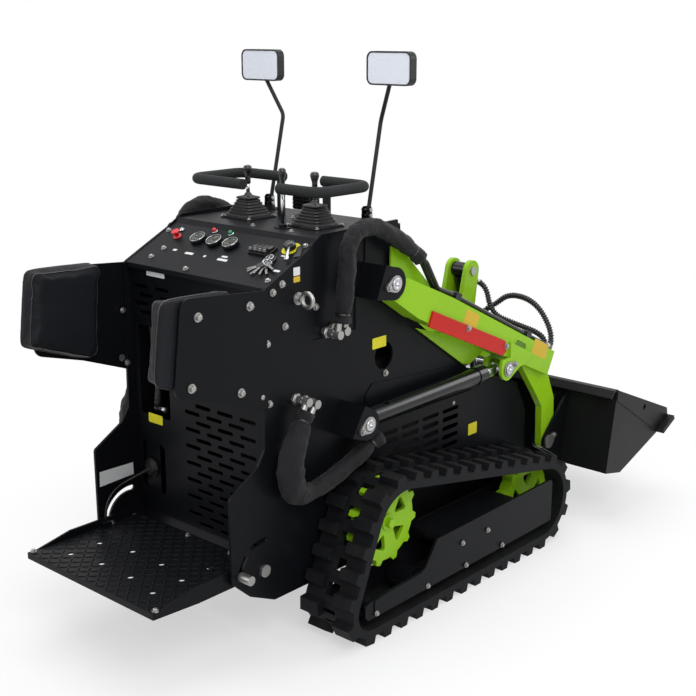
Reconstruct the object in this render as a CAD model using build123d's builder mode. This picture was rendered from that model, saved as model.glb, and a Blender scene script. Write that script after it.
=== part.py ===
from build123d import *
import os
from math import acos, atan2, cos, degrees, hypot, pi, radians, sin, sqrt

os.makedirs("parts", exist_ok=True)

# Lengths are millimetres. In side views x runs forward from the rearmost lug on the ground,
# z runs up from the ground, and y is measured sideways from the middle of the machine.
# The finished machine stands with its origin on the ground under the middle of its length.

# Rubber tracks
track_gap = 10
belt_width = 180
belt_thickness = 22
lug_height = 22
lug_base = 40
lug_tip = 27
lug_pitch_wanted = 72
pitch_line = 12
window_width = 44
window_length = 39
lug_row_gap = 2
belt_play = 0.3

# Wheels inside each track
seat_radius = 114
rear_idler_radius = 60
roller_radius = 40
sprocket_x = 150
sprocket_z = 300
front_idler_x = 863
rear_idler_x = 10
roller_places = (260, 446, 635)
tooth_count = 11
tooth_height = 17
tooth_base = 32
tooth_tip = 15
rim_width = 40
rim_depth = 16
web_thickness = 12
wheel_window_count = 5
wheel_window_radius = 66
wheel_window_size = 32
wheel_window_corner = 6
hub_radius = 24
hub_reach = 5
nut_radius = 14
nut_height = 14
roller_width = 84
rear_idler_width = 60

# Track frames
frame_plate = 8
frame_inset = 9
frame_clear = 41
frame_top = 214
frame_bottom = 75
crossbar_places = (400, 690)
crossbar_size = 64
crossbar_z = 176
motor_radius = 62

# Body shell
body_half = 287
side_plate = 8
recess_depth = 4
hose_hole_radius = 40
belly_z = 143
belly_plate = 8
rear_panel_x = -180
rear_panel_thickness = 5
rear_panel_bottom = 262
ridge_x = -201
ridge_z = 1008
deck_start_x = -10
deck_z = 1112
deck_front_x = 350
console_sheet = 4
cheek_rise = 14
hood_sheet = 4
hood_foot_z = 845
hood_knee_x = 673
hood_knee_z = 617
nose_x = 961
nose_z = 505
front_x = 1015
front_top_z = 398
panel_play = 0.3
grille_middle = (444, 430)
grille_pitch = (100, 29)
grille_columns = 4
grille_rows = 6
grille_slot = (80, 15)
engine_clear = 69

# Platform
platform_rear = -584
platform_front = -200
platform_half = body_half - 17
tread_z = 250
tread_plate = 5
flange_plate = 6
flange_below = 223
flange_above = 272
platform_pivot_x = -219
platform_pivot_z = 244
pivot_pin_radius = 10
latch_radius_of_turn = 86
latch_pin_radius = 6
switch_top = 264
latch_slot_play = 2
platform_travel = 88
tread_hole_radius = 9
# Rows of holes in the tread: middle, distance to each side and pitch, with their counts
tread_hole_rows = [(-411, 176, 97), (-437, 62, 105)]
tread_hole_counts = (3, 2)

# Thigh pads
pad_plate_thickness = 5
pad_thickness = 52

# Lift arms and their cylinders
arm_inner = body_half + 8
arm_outer = arm_inner + 63
arm_wall_play = 2
pivot_x = 218
pivot_z = 970
arm_end_radius = 41
tower_plate = 12
pin_radius = 15
pin_play = 0.05
leg_thickness = 24
lift_middle = arm_inner + 35.5
lift_rear_x = 110
lift_rear_z = 590
lift_front_x = 788
lift_front_z = 604
lift_barrel_radius = 26
lift_rod_radius = 15
lift_rod_shown = 88
eye_radius = 25
eye_width = 46
lift_travel = 75
arm_ear = 10

# Bucket hitch
hitch_x = 1076
hitch_z = 285
hitch_radius = 31
tilt_top_x = 1030
tilt_top_z = 843
tilt_low_x = hitch_x + 45
tilt_low_z = hitch_z + 165
tilt_barrel_radius = 28
tilt_rod_radius = 14
tilt_rod_shown = 153
tilt_eye_width = 56
tilt_ear_gap = 2
coupler_ear = 12
coupler_plate = 12
ear_plate = 10

# Bucket
bucket_past_track = 53
bucket_sheet = 7
bucket_side = 8
edge_thickness = 16
edge_overhang = 28
bucket_back_foot = (hitch_x + 81, hitch_z - 97)
bucket_back_top = (hitch_x + 129, hitch_z + 189)
bucket_heel = (hitch_x + 179, hitch_z - 119)
bucket_floor_end = (hitch_x + 432, hitch_z - 36)
bucket_edge_tip = (hitch_x + 510, hitch_z)
bucket_side_front = (hitch_x + 496, hitch_z + 41)
side_hole = (hitch_x + 321, hitch_z + 84)
side_hole_radius = 10

# Controls
grip_z = 1225
grip_radius = 15
grip_half = 254
grip_rear_x = 40
grip_front_x = 245
grip_post_y = 92
grip_bend = 40
grip_end_right = 104
grip_end_left = 36
lever_x = 145
lever_y = 128
lever_top_z = 1254
mirror_base_x = 300
mirror_base_y = 197
mirror_bend_z = 1394
mirror_centre_z = 1540
mirror_centre_y = 253
mirror_width = 158
mirror_height = 92
lever_stand_x = 66
lever_stand_y = 92
light_x = 300
light_y = 44
light_width = 76
eye_x = -79
eye_z = 966
hose_play = 0.3

belt_in = body_half + track_gap
belt_out = belt_in + belt_width
belt_mid = (belt_out + belt_in) / 2
ground_seat = belt_thickness + lug_height
front_idler_z = seat_radius + ground_seat
rear_idler_z = rear_idler_radius + ground_seat
roller_z = roller_radius + ground_seat + belt_play
side_inner = body_half - side_plate
frame_outer = belt_out - frame_inset
frame_inner = belt_in + frame_clear
bucket_half = belt_out + bucket_past_track
middle_x = (platform_rear + bucket_edge_tip[0]) / 2

# Sketch planes: the side view looks at the right-hand side, the rear view looks forward,
# and the plan looks down. Each counts x from the same place as the sizes above.
SIDE = Plane(origin=(-middle_x, 0, 0), x_dir=(1, 0, 0), z_dir=(0, -1, 0))
REAR = Plane(origin=(-middle_x, 0, 0), x_dir=(0, -1, 0), z_dir=(-1, 0, 0))
PLAN = Plane(origin=(-middle_x, 0, 0))


def slab(plane, outline, thickness, rounding=0.0, mode=Mode.ADD):
    """Flat plate of a polygon outline, with its corners rounded if asked"""
    with BuildSketch(plane) as profile:
        Polygon(*outline, align=None)
        if rounding:
            fillet(profile.vertices(), rounding)
    extrude(profile.sketch, amount=thickness, mode=mode)


def disc(plane, centre, radius, thickness, bore=0.0, mode=Mode.ADD):
    """Round plate or pin, with a bore if asked"""
    with BuildSketch(plane) as profile:
        with Locations(centre):
            Circle(radius)
            if bore:
                Circle(bore, mode=Mode.SUBTRACT)
    extrude(profile.sketch, amount=thickness, mode=mode)


def strip(path, thickness):
    """Outline of a bent sheet: the path, and the same path set off to its left"""
    normals = []
    for (x1, z1), (x2, z2) in zip(path, path[1:]):
        run = hypot(x2 - x1, z2 - z1)
        normals.append(((z1 - z2) / run, (x2 - x1) / run))
    far = []
    for index, (x, z) in enumerate(path):
        before = normals[max(index - 1, 0)]
        after = normals[min(index, len(normals) - 1)]
        share = 1 + before[0] * after[0] + before[1] * after[1]
        reach = thickness / share
        far.append((x + (before[0] + after[0]) * reach, z + (before[1] + after[1]) * reach))
    return list(path) + far[::-1]


def turned(point, centre, angle):
    """A point turned about a centre, in degrees and counter-clockwise in the side view"""
    x, z = point[0] - centre[0], point[1] - centre[1]
    c, s = cos(radians(angle)), sin(radians(angle))
    return centre[0] + x * c - z * s, centre[1] + x * s + z * c


def finish(part, name):
    """Names a finished piece and writes it"""
    part.label = name
    export_step(part, "parts/" + name + ".step")


def both_sides(right, name):
    """Writes a right-hand piece and its left-hand twin"""
    with BuildPart() as left:
        mirror(right.part, about=Plane.XZ)
    finish(right.part, name + "_right")
    finish(left.part, name + "_left")


def pair(right, name):
    """Writes a right-hand piece and its mirror image as one named pair"""
    with BuildPart() as couple:
        add(right.part)
        mirror(right.part, about=Plane.XZ)
    finish(couple.part, name)


# The belt runs over three wheels: x, z and the radius of the belt's seat on each.
# It is followed counter-clockwise in the side view, so its outside lies to the right.
wheels = [
    (rear_idler_x, rear_idler_z, rear_idler_radius),
    (front_idler_x, front_idler_z, seat_radius),
    (sprocket_x, sprocket_z, seat_radius),
]
belt_normals = []
belt_runs = []
for (x1, z1, r1), (x2, z2, r2) in zip(wheels, wheels[1:] + wheels[:1]):
    apart = hypot(x2 - x1, z2 - z1)
    belt_normals.append(atan2(z2 - z1, x2 - x1) - acos((r1 - r2) / apart))
    belt_runs.append(sqrt(apart**2 - (r1 - r2) ** 2))
belt_sweeps = [(belt_normals[i] - belt_normals[i - 1]) % (2 * pi) for i in range(3)]
belt_length = sum(belt_runs) + sum(
    sweep * (wheel[2] + pitch_line) for sweep, wheel in zip(belt_sweeps, wheels)
)
pitch_count = round(belt_length / lug_pitch_wanted)
lug_pitch = belt_length / pitch_count


def on_belt(travel, offset):
    """Point so far along the pitch line and so far outside the wheels' seats"""
    travel %= belt_length
    for index, (x, z, radius) in enumerate(wheels):
        arc = belt_sweeps[index] * (radius + pitch_line)
        angle = belt_normals[index]
        along = travel - arc
        if travel <= arc:
            angle = belt_normals[index - 1] + travel / (radius + pitch_line)
            along = 0
        if along <= belt_runs[index]:
            reach = radius + offset
            return (
                x + reach * cos(angle) - along * sin(angle),
                z + reach * sin(angle) + along * cos(angle),
            )
        travel = along - belt_runs[index]
    return on_belt(0, offset)


def belt_block(travel, half_low, half_high, low, high):
    """Corners of a block on the belt, from one offset to another"""
    return [
        on_belt(travel - half_low, low),
        on_belt(travel + half_low, low),
        on_belt(travel + half_high, high),
        on_belt(travel - half_high, high),
    ]


def belt_loop(offset):
    """Draws the closed line that runs so far outside the wheels' seats"""
    arcs = []
    for index, (x, z, radius) in enumerate(wheels):
        start = degrees(belt_normals[index - 1])
        arcs.append(CenterArc((x, z), radius + offset, start, degrees(belt_sweeps[index])))
    for index, arc in enumerate(arcs):
        Line(arc @ 1, arcs[(index + 1) % 3] @ 0)


# Travel at which the sprocket's first tooth stands, straight up from its centre
sprocket_start = sum(belt_runs[:2]) + sum(
    belt_sweeps[i] * (wheels[i][2] + pitch_line) for i in range(2)
)
first_tooth = sprocket_start + (pi / 2 - belt_normals[1]) * (seat_radius + pitch_line)
first_window = first_tooth % lug_pitch
idler_start = belt_runs[0] + belt_sweeps[0] * (rear_idler_radius + pitch_line)
idler_phase = (first_window - idler_start) % lug_pitch
idler_tooth = degrees(belt_normals[0] + idler_phase / (seat_radius + pitch_line))

with BuildPart() as track:
    with BuildSketch(SIDE.offset(belt_in)) as band:
        with BuildLine():
            belt_loop(belt_thickness)
        make_face()
        with BuildLine():
            belt_loop(0)
        make_face(mode=Mode.SUBTRACT)
    extrude(amount=belt_width)
    with BuildSketch(SIDE.offset(belt_mid - window_width / 2)) as windows:
        for place in range(pitch_count):
            travel = first_window + place * lug_pitch
            half = window_length / 2
            Polygon(*belt_block(travel, half, half, -2, belt_thickness + 2), align=None)
    extrude(amount=window_width, mode=Mode.SUBTRACT)
    row_width = (belt_width - window_width) / 2 - lug_row_gap
    for row_start, phase in ((belt_out - row_width, 0.25), (belt_in, 0.75)):
        with BuildSketch(SIDE.offset(row_start)) as lugs:
            for place in range(pitch_count):
                travel = first_window + (place + phase) * lug_pitch
                block = belt_block(
                    travel, lug_base / 2, lug_tip / 2, belt_thickness - 3, ground_seat
                )
                Polygon(*block, align=None)
        extrude(amount=row_width)
both_sides(track, "track")


with BuildSketch() as wheel_window:
    RegularPolygon(wheel_window_size, 3, rotation=180)
    fillet(wheel_window.vertices(), wheel_window_corner)


def toothed_wheel(x, z, first_angle):
    """Cast wheel: toothed rim, web with five windows, and a hub boss outside"""
    rim_in = belt_mid - rim_width / 2
    web_in = belt_mid + rim_width / 2 - web_thickness
    seat = seat_radius - belt_play
    with BuildSketch(SIDE.offset(rim_in)) as rim:
        with Locations((x, z)):
            Circle(seat)
            with PolarLocations(seat - 2, tooth_count, start_angle=first_angle):
                half_base, half_tip = tooth_base / 2, tooth_tip / 2
                corners = ((0, -half_base), (tooth_height, -half_tip), (tooth_height, half_tip))
                Polygon(*corners, (0, half_base), align=None)
            Circle(seat - rim_depth, mode=Mode.SUBTRACT)
    extrude(rim.sketch, amount=rim_width)
    with BuildSketch(SIDE.offset(web_in)) as web:
        with Locations((x, z)):
            Circle(seat - rim_depth + 1)
            with PolarLocations(wheel_window_radius, wheel_window_count, start_angle=first_angle + 12):
                add(wheel_window.sketch, mode=Mode.SUBTRACT)
    extrude(web.sketch, amount=web_thickness)
    disc(SIDE.offset(web_in), (x, z), hub_radius, web_thickness + hub_reach)
    with BuildSketch(SIDE.offset(web_in + web_thickness + hub_reach)) as nut:
        with Locations((x, z)):
            RegularPolygon(nut_radius, 6)
    extrude(nut.sketch, amount=nut_height)


with BuildPart() as sprocket:
    toothed_wheel(sprocket_x, sprocket_z, 90)
pair(sprocket, "drive_sprockets")

with BuildPart() as front_idler:
    toothed_wheel(front_idler_x, front_idler_z, idler_tooth)
pair(front_idler, "front_idlers")

with BuildPart() as motor:
    disc(SIDE.offset(body_half), (sprocket_x, sprocket_z), motor_radius, 60)
    motor_face = belt_mid + rim_width / 2 - web_thickness
    disc(SIDE.offset(body_half + 60), (sprocket_x, sprocket_z), motor_radius - 12, motor_face - body_half - 60)
pair(motor, "drive_motors")

with BuildPart() as rollers:
    for place in roller_places:
        disc(SIDE.offset(belt_mid - roller_width / 2), (place, roller_z), roller_radius, roller_width)
        disc(SIDE.offset(frame_inner), (place, roller_z), 12, frame_outer - frame_plate - frame_inner)
    idler_low = belt_mid - rear_idler_width / 2
    disc(SIDE.offset(idler_low), (rear_idler_x, rear_idler_z), rear_idler_radius - belt_play, rear_idler_width)
    disc(SIDE.offset(frame_inner), (rear_idler_x, rear_idler_z), 14, frame_outer - frame_plate - frame_inner)
pair(rollers, "track_rollers")

# Track frame: an outer and an inner plate, a top plate between them, a bridge at the rear,
# and two crossbars that carry it on the body's side plate
frame_outline = [
    (-12, frame_bottom + 8),
    (-12, 118),
    (12, 124),
    (236, 136),
    (254, 142),
    (308, frame_top),
    (911, frame_top + 8),
    (921, frame_top - 2),
    (921, frame_bottom + 3),
    (0, frame_bottom - 4),
]
top_plate_end = front_idler_x - seat_radius - tooth_height - 12
with BuildPart() as frame:
    slab(SIDE.offset(frame_outer - frame_plate), frame_outline, frame_plate)
    slab(SIDE.offset(frame_inner - frame_plate), frame_outline, frame_plate)
    top_outline = [(330, frame_top - 8), (330, frame_top), (top_plate_end, frame_top), (top_plate_end, frame_top - 8)]
    slab(SIDE.offset(frame_inner), top_outline, frame_outer - frame_plate - frame_inner)
    arm_cover = [(24, frame_bottom), (24, 122), (60, 126), (236, 134), (262, 112), (270, frame_bottom)]
    slab(SIDE.offset(frame_outer), arm_cover, 3, 6)
    for place in crossbar_places:
        low, high = crossbar_z - crossbar_size / 2, crossbar_z + crossbar_size / 2
        bar = [(place, low), (place + crossbar_size, low), (place + crossbar_size, high), (place, high)]
        slab(SIDE.offset(body_half), bar, frame_inner - frame_plate - body_half, 6)
    idler_hub = (front_idler_x, front_idler_z)
    wheel_back = belt_mid + rim_width / 2 - web_thickness
    disc(SIDE.offset(frame_inner), idler_hub, 22, wheel_back - frame_inner)
both_sides(frame, "track_frame")

# Body side plate, with its flared foot that carries the platform and the slot for its latch
cheek_top = deck_z + cheek_rise
side_outline = [
    (-335, 244),
    (-335, 479),
    (-233, 540),
    (-207, 580),
    (ridge_x + 1, ridge_z - 2),
    (-120, 1036),
    (-68, 1052),
    (-25, 1096),
    (20, cheek_top - 4),
    (deck_front_x - 20, cheek_top),
    (deck_front_x + 6, hood_foot_z + 20),
    (hood_knee_x, hood_knee_z + hood_sheet),
    (nose_x, nose_z + hood_sheet),
    (front_x + 6, front_top_z),
    (front_x + 6, 200),
    (975, belly_z),
    (-180, belly_z),
    (-270, 185),
]
latch_start = 172
latch_end = latch_start - platform_travel
with BuildPart() as side:
    with BuildSketch(SIDE.offset(side_inner)) as side_face:
        Polygon(*side_outline, align=None)
        fillet(side_face.vertices().sort_by(Axis.X)[:2], 12)
        with Locations((platform_pivot_x, platform_pivot_z)):
            Circle(pivot_pin_radius + pin_play, mode=Mode.SUBTRACT)
        with BuildLine(mode=Mode.PRIVATE) as slot_line:
            CenterArc((platform_pivot_x, platform_pivot_z), latch_radius_of_turn, latch_end, platform_travel)
        SlotArc(slot_line.edges()[0], 2 * (latch_pin_radius + latch_slot_play), mode=Mode.SUBTRACT)
        with Locations((273, 740)):
            Circle(hose_hole_radius, mode=Mode.SUBTRACT)
        with Locations((295, 639), (295, 612)):
            SlotOverall(74, 14, mode=Mode.SUBTRACT)
        with Locations(grille_middle):
            RectangleRounded(
                grille_columns * grille_pitch[0] - 12,
                grille_rows * grille_pitch[1] - 2,
                14,
                mode=Mode.SUBTRACT,
            )
    extrude(amount=side_plate)
    recess = [(-20, 841), (-20, 1104), (12, cheek_top + 4), (190, cheek_top + 4), (190, 1030), (150, 960), (150, 841)]
    slab(SIDE.offset(body_half - recess_depth), recess, recess_depth, mode=Mode.SUBTRACT)
both_sides(side, "side_plate")

# Thigh pads and the steel plates behind them
pad_plate_outline = [(-196, 1006), (-478, 1030), (-508, 792), (-352, 748), (-196, 690)]
with BuildPart() as pad_plate:
    with BuildSketch(SIDE.offset(body_half)) as pad_face:
        Polygon(*pad_plate_outline, align=None)
        fillet(pad_face.vertices().sort_by(Axis.X)[:2], 30)
    extrude(amount=pad_plate_thickness)
pair(pad_plate, "pad_plates")

pad_outline = [(-300, 1026), (-532, 1036), (-560, 826), (-354, 752), (-322, 764)]
with BuildPart() as pad:
    with BuildSketch(SIDE.offset(body_half - pad_thickness)) as pad_shape:
        Polygon(*pad_outline, align=None)
        fillet(pad_shape.vertices(), 26)
    extrude(amount=pad_thickness - 0.3)
    fillet(pad.faces().sort_by(Axis.Y)[-1].edges(), 12)
both_sides(pad, "thigh_pad")

# Belly: floor, front and rear walls and two rails between the side plates
with BuildPart() as chassis:
    floor = [(-172, belly_z), (972, belly_z), (972, belly_z + belly_plate), (-172, belly_z + belly_plate)]
    slab(SIDE.offset(-side_inner), floor, 2 * side_inner)
    rear_wall = [(-172, belly_z), (-166, belly_z), (-166, rear_panel_bottom), (-172, rear_panel_bottom)]
    slab(SIDE.offset(-side_inner), rear_wall, 2 * side_inner)
    front_wall = [(964, belly_z), (972, belly_z), (1010, 205), (1010, 262), (1002, 262), (1002, 208)]
    slab(SIDE.offset(-side_inner), front_wall, 2 * side_inner)
    for rail in (-side_inner, side_inner - 50):
        rail_outline = [(-166, belly_z), (960, belly_z), (960, belly_z + 80), (-166, belly_z + 80)]
        slab(SIDE.offset(rail), rail_outline, 50)
finish(chassis.part, "chassis")

# Rear panel with its two windows and its field of staggered slots
panel_half = side_inner - panel_play
plug_y = 69 - body_half
slot_size = (62, 11)
slot_pitch = 90
slot_row = 25
with BuildPart() as rear_panel:
    with BuildSketch(REAR.offset(-rear_panel_x)) as panel:
        panel_height = ridge_z - 16 - rear_panel_bottom
        with Locations((0, rear_panel_bottom + panel_height / 2)):
            Rectangle(2 * panel_half, panel_height)
        with Locations((96 - body_half, 695)):
            RectangleRounded(132, 266, 8, mode=Mode.SUBTRACT)
        with Locations((78 - body_half, 402)):
            RectangleRounded(104, 154, 20, mode=Mode.SUBTRACT)
        for row in range(15):
            shift = 0 if row % 2 else slot_pitch / 2
            with Locations((82.5 + shift - slot_pitch / 4, 632 - row * slot_row)):
                with GridLocations(slot_pitch, slot_row, 3, 1):
                    SlotOverall(*slot_size, mode=Mode.SUBTRACT)
        for row in range(4):
            with Locations((-190 + 20 * (row % 2), 942 - row * slot_row)):
                with GridLocations(slot_pitch, slot_row, 2, 1):
                    SlotOverall(*slot_size, mode=Mode.SUBTRACT)
    extrude(amount=-rear_panel_thickness)
    with BuildSketch(REAR.offset(-rear_panel_x - rear_panel_thickness)) as plug_strap:
        with Locations((plug_y, 400)):
            Rectangle(64, 200)
    extrude(amount=-4)
finish(rear_panel.part, "rear_panel")

# Control console: one bent sheet from the ridge over the sloped dash and the deck
console_path = [
    (ridge_x + 8, ridge_z - 14),
    (ridge_x + 8, ridge_z),
    (deck_start_x, deck_z - 14),
    (deck_start_x + 14, deck_z),
    (deck_front_x, deck_z),
    (deck_front_x + 20, hood_foot_z + 14),
]
with BuildPart() as console:
    slab(SIDE.offset(-panel_half), strip(console_path, -console_sheet), 2 * panel_half)
finish(console.part, "control_console")

hood_path = [
    (deck_front_x + 14, hood_foot_z + 6),
    (hood_knee_x, hood_knee_z),
    (nose_x, nose_z),
    (front_x, front_top_z),
    (front_x, 264),
]
with BuildPart() as hood:
    slab(SIDE.offset(-panel_half), strip(hood_path, -hood_sheet), 2 * panel_half)
finish(hood.part, "hood")

# Side grilles: thin covers on the side plates with four columns of slots
with BuildPart() as grille:
    grille_outline = [(190, 300), (190, 640), (220, 668), (590, 640), (672, 604), (955, 494), (1012, 396), (1012, 262)]
    slab(SIDE.offset(body_half), grille_outline, 3)
    with BuildSketch(SIDE.offset(body_half)) as grille_slots:
        with Locations(grille_middle):
            with GridLocations(*grille_pitch, grille_columns, grille_rows):
                SlotOverall(*grille_slot)
    extrude(amount=3, mode=Mode.SUBTRACT)
    with BuildSketch(SIDE.offset(body_half)) as rail:
        with Locations((466, 527)):
            SlotOverall(490, 34)
    extrude(amount=8)
    disc(SIDE.offset(body_half), (sprocket_x, sprocket_z), motor_radius + 4, 3, mode=Mode.SUBTRACT)
pair(grille, "side_grilles")

with BuildPart() as engine:
    engine_foot = belly_z + belly_plate
    engine_outline = [(120, engine_foot), (640, engine_foot), (640, 560), (420, 700), (120, 700)]
    engine_half = side_inner - engine_clear
    slab(SIDE.offset(-engine_half), engine_outline, 2 * engine_half, 12)
finish(engine.part, "engine_block")

# Arm towers and cylinder brackets: a rounded ear plate outside and a closing plate behind
tower_inner = arm_outer + arm_wall_play
tower_out = tower_inner + tower_plate


def bracket(pin, rear_low, rear_high, radius):
    """Ear plate round a pin, standing off the side plate on a closing plate at its rear"""
    with BuildSketch(SIDE.offset(tower_inner)) as ear:
        with BuildLine():
            Polyline(rear_low, rear_high, pin, rear_low)
        make_face()
        with Locations(pin):
            Circle(radius)
        make_hull()
        with Locations(pin):
            Circle(pin_radius, mode=Mode.SUBTRACT)
    extrude(ear.sketch, amount=tower_plate)
    slab(SIDE.offset(body_half), strip([rear_low, rear_high], -8), tower_inner - body_half)


with BuildPart() as tower:
    bracket((pivot_x, pivot_z), (142, 936), (180, 1026), 46)
pair(tower, "arm_towers")

with BuildPart() as cylinder_bracket:
    bracket((lift_rear_x, lift_rear_z), (44, 566), (96, 648), 44)
pair(cylinder_bracket, "cylinder_brackets")


def retained_pin(centre, start, end, plate_angle, radius=pin_radius):
    """Pin with the drop-shaped plate that keeps it, on its outer end"""
    disc(SIDE.offset(start), centre, radius, end - start)
    bolt = turned((centre[0] + 34, centre[1]), centre, plate_angle)
    with BuildSketch(SIDE.offset(end)) as keeper:
        with Locations(centre):
            Circle(24)
        with Locations(bolt):
            Circle(9)
        make_hull()
    extrude(keeper.sketch, amount=5)
    disc(SIDE.offset(end + 5), bolt, 6, 5)


with BuildPart() as body_pins:
    retained_pin((pivot_x, pivot_z), body_half, tower_out, 190)
    retained_pin((lift_rear_x, lift_rear_z), body_half, tower_out, 200)
pair(body_pins, "body_pins")

# Lift arms: box beams, inner guard plates, gussets, ears, legs and the cross tube with the
# two ears of the tilt cylinder
arm_top_rear = (290, 974)
arm_top_mid = (503, 882)
arm_top_front = (1075, 604)
arm_low_front = (1036, 531)
arm_low_mid = (342, 847)
arm_angle = degrees(atan2(arm_top_front[1] - arm_top_mid[1], arm_top_front[0] - arm_top_mid[0]))
arm_middle = (arm_inner + arm_outer) / 2
leg_outline = [
    (905, 590),
    (1009, 458),
    (hitch_x - 36, hitch_z + 129),
    (hitch_x - 32, hitch_z + 41),
    (hitch_x - 29, hitch_z - 8),
    (hitch_x, hitch_z),
    (hitch_x + 29, hitch_z + 14),
    (hitch_x + 42, hitch_z + 85),
    (hitch_x + 38, hitch_z + 146),
    (1070, 525),
    (1030, 560),
]
with BuildPart() as arms:
    with BuildSketch(SIDE.offset(arm_inner)) as beam:
        Polygon(arm_top_rear, arm_top_mid, arm_top_front, arm_low_front, arm_low_mid, (pivot_x - 5, pivot_z - 40), (pivot_x, pivot_z), align=None)
        with Locations((pivot_x, pivot_z)):
            Circle(arm_end_radius)
            Circle(pin_radius + pin_play, mode=Mode.SUBTRACT)
    extrude(amount=arm_outer - arm_inner)
    slab(SIDE.offset(arm_inner), [(284, 960), (284, 1057), (351, 1026), (478, 906), (478, 860)], 6)
    slab(SIDE.offset(arm_inner), [(400, 800), (640, 640), (675, 632), (742, 658), (742, 690)], 4)
    for start in (arm_inner, arm_outer):
        with BuildSketch(SIDE.offset(start)) as ear:
            with BuildLine():
                Polyline((756, 640), (lift_front_x, lift_front_z), (880, 612), (860, 640), (756, 640))
            make_face()
            with Locations((lift_front_x, lift_front_z)):
                Circle(36)
            make_hull()
            Polygon((800, 630), (800, 690), (936, 626), (892, 600), (840, 600), align=None)
            with Locations((lift_front_x, lift_front_z)):
                Circle(pin_radius, mode=Mode.SUBTRACT)
        extrude(amount=arm_ear)
    with BuildSketch(SIDE.offset(arm_middle - leg_thickness / 2)) as leg:
        Polygon(*leg_outline, align=None)
        with Locations((hitch_x, hitch_z)):
            Circle(29)
            Circle(pin_radius + pin_play, mode=Mode.SUBTRACT)
    extrude(amount=leg_thickness)
    mirror(arms.part, about=Plane.XZ)
    cross_centre = (985, 600)
    cross_corners = [(-40, -40), (40, -40), (40, 40), (-40, 40)]
    cross_outline = [turned((cross_centre[0] + dx, cross_centre[1] + dz), cross_centre, arm_angle) for dx, dz in cross_corners]
    slab(SIDE.offset(-arm_inner - 1), cross_outline, 2 * arm_inner + 2)
    for start in (-tilt_eye_width / 2 - 18, tilt_eye_width / 2 + 2):
        with BuildSketch(SIDE.offset(start)) as tilt_ear:
            with BuildLine():
                Polyline((940, 630), (1030, 600), (tilt_top_x, tilt_top_z), (940, 630))
            make_face()
            with Locations((tilt_top_x, tilt_top_z)):
                Circle(36)
            make_hull()
            with Locations((tilt_top_x, tilt_top_z)):
                Circle(pin_radius, mode=Mode.SUBTRACT)
        extrude(amount=16)
finish(arms.part, "lift_arms")

# The pins at the rods' eyes are short and stay inside their ears, clear of the drifting eyes
with BuildPart() as arm_pins:
    lift_front = (lift_front_x, lift_front_z)
    disc(SIDE.offset(arm_inner), lift_front, pin_radius, arm_ear)
    retained_pin(lift_front, arm_outer, arm_outer + arm_ear, 20)
    mirror(arm_pins.part, about=Plane.XZ)
    disc(SIDE.offset(-tilt_eye_width / 2 - 24), (tilt_top_x, tilt_top_z), pin_radius, tilt_eye_width + 48)
finish(arm_pins.part, "arm_pins")

# Red lock strut stowed on the outside of the right arm
strut_rear = (392, 838)
strut_front = (778, 672)
with BuildPart() as strut:
    strut_angle = degrees(atan2(strut_front[1] - strut_rear[1], strut_front[0] - strut_rear[0]))
    strut_corners = [(0, -24), (410, -24), (424, -8), (424, 12), (400, 24), (0, 24)]
    strut_outline = [turned((strut_rear[0] + dx, strut_rear[1] + dz), strut_rear, strut_angle) for dx, dz in strut_corners]
    slab(SIDE.offset(arm_outer), strut_outline, 7)
finish(strut.part, "lock_strut")

# Lift cylinders
lift_angle = degrees(atan2(lift_front_z - lift_rear_z, lift_front_x - lift_rear_x))
lift_length = hypot(lift_front_x - lift_rear_x, lift_front_z - lift_rear_z)
lift_barrel_length = lift_length - lift_rod_shown


def along_plane(x, y, z, angle):
    """Plane across a cylinder's line, so that its z runs up the cylinder in the side view"""
    direction = (cos(radians(angle)), 0, sin(radians(angle)))
    return Plane(origin=(x - middle_x, -y, z), x_dir=(0, 1, 0), z_dir=direction)


def ram_barrel(pin, middle, angle, radius, length, width):
    """Barrel from its rear eye to its gland"""
    base = along_plane(pin[0], middle, pin[1], angle)
    with BuildSketch(base.offset(eye_radius - 4)) as tube:
        Circle(radius)
    extrude(tube.sketch, amount=length - eye_radius + 4)
    with BuildSketch(base.offset(length - 40)) as gland:
        Circle(radius + 3)
    extrude(gland.sketch, amount=40)
    disc(SIDE.offset(middle - width / 2), pin, eye_radius, width)
    disc(SIDE.offset(middle - width / 2), pin, pin_radius + pin_play, width, mode=Mode.SUBTRACT)


def ram_rod(pin, middle, angle, radius, length, width):
    """Rod back from its eye into the barrel; the eye drifts from its pin, so it has no bore"""
    base = along_plane(pin[0], middle, pin[1], angle + 180)
    with BuildSketch(base.offset(eye_radius - 5)) as rod:
        Circle(radius)
    extrude(rod.sketch, amount=length - eye_radius + 5)
    disc(SIDE.offset(middle - width / 2), pin, eye_radius, width)


# The sleeve's lower hose runs to a port under each lift barrel
port_x = 228
port_z = 535
port_radius = 11
lower_route = [(-95, 668), (-168, 560), (-150, 432), (14, 452), (200, 524)]
with BuildPart() as lift_barrel:
    ram_barrel((lift_rear_x, lift_rear_z), lift_middle, lift_angle, lift_barrel_radius, lift_barrel_length, eye_width)
    with BuildSketch(Plane(origin=(port_x - middle_x, -lift_middle, port_z - port_radius))) as port:
        Circle(port_radius)
    extrude(port.sketch, amount=lift_rear_z - 20 - port_z + port_radius)
    hose_run = hypot(port_x - lower_route[-1][0], port_z - lower_route[-1][1])
    hose_angle = degrees(atan2(lower_route[-1][1] - port_z, lower_route[-1][0] - port_x))
    with BuildSketch(along_plane(port_x, lift_middle, port_z, hose_angle)) as nipple:
        Circle(port_radius - 1)
    extrude(nipple.sketch, amount=hose_run - hose_play)
    bore = along_plane(lift_rear_x, lift_middle, lift_rear_z, lift_angle).offset(60)
    with BuildSketch(bore) as hollow:
        Circle(lift_rod_radius + 0.05)
    extrude(amount=lift_barrel_length, mode=Mode.SUBTRACT)
both_sides(lift_barrel, "lift_barrel")

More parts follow.
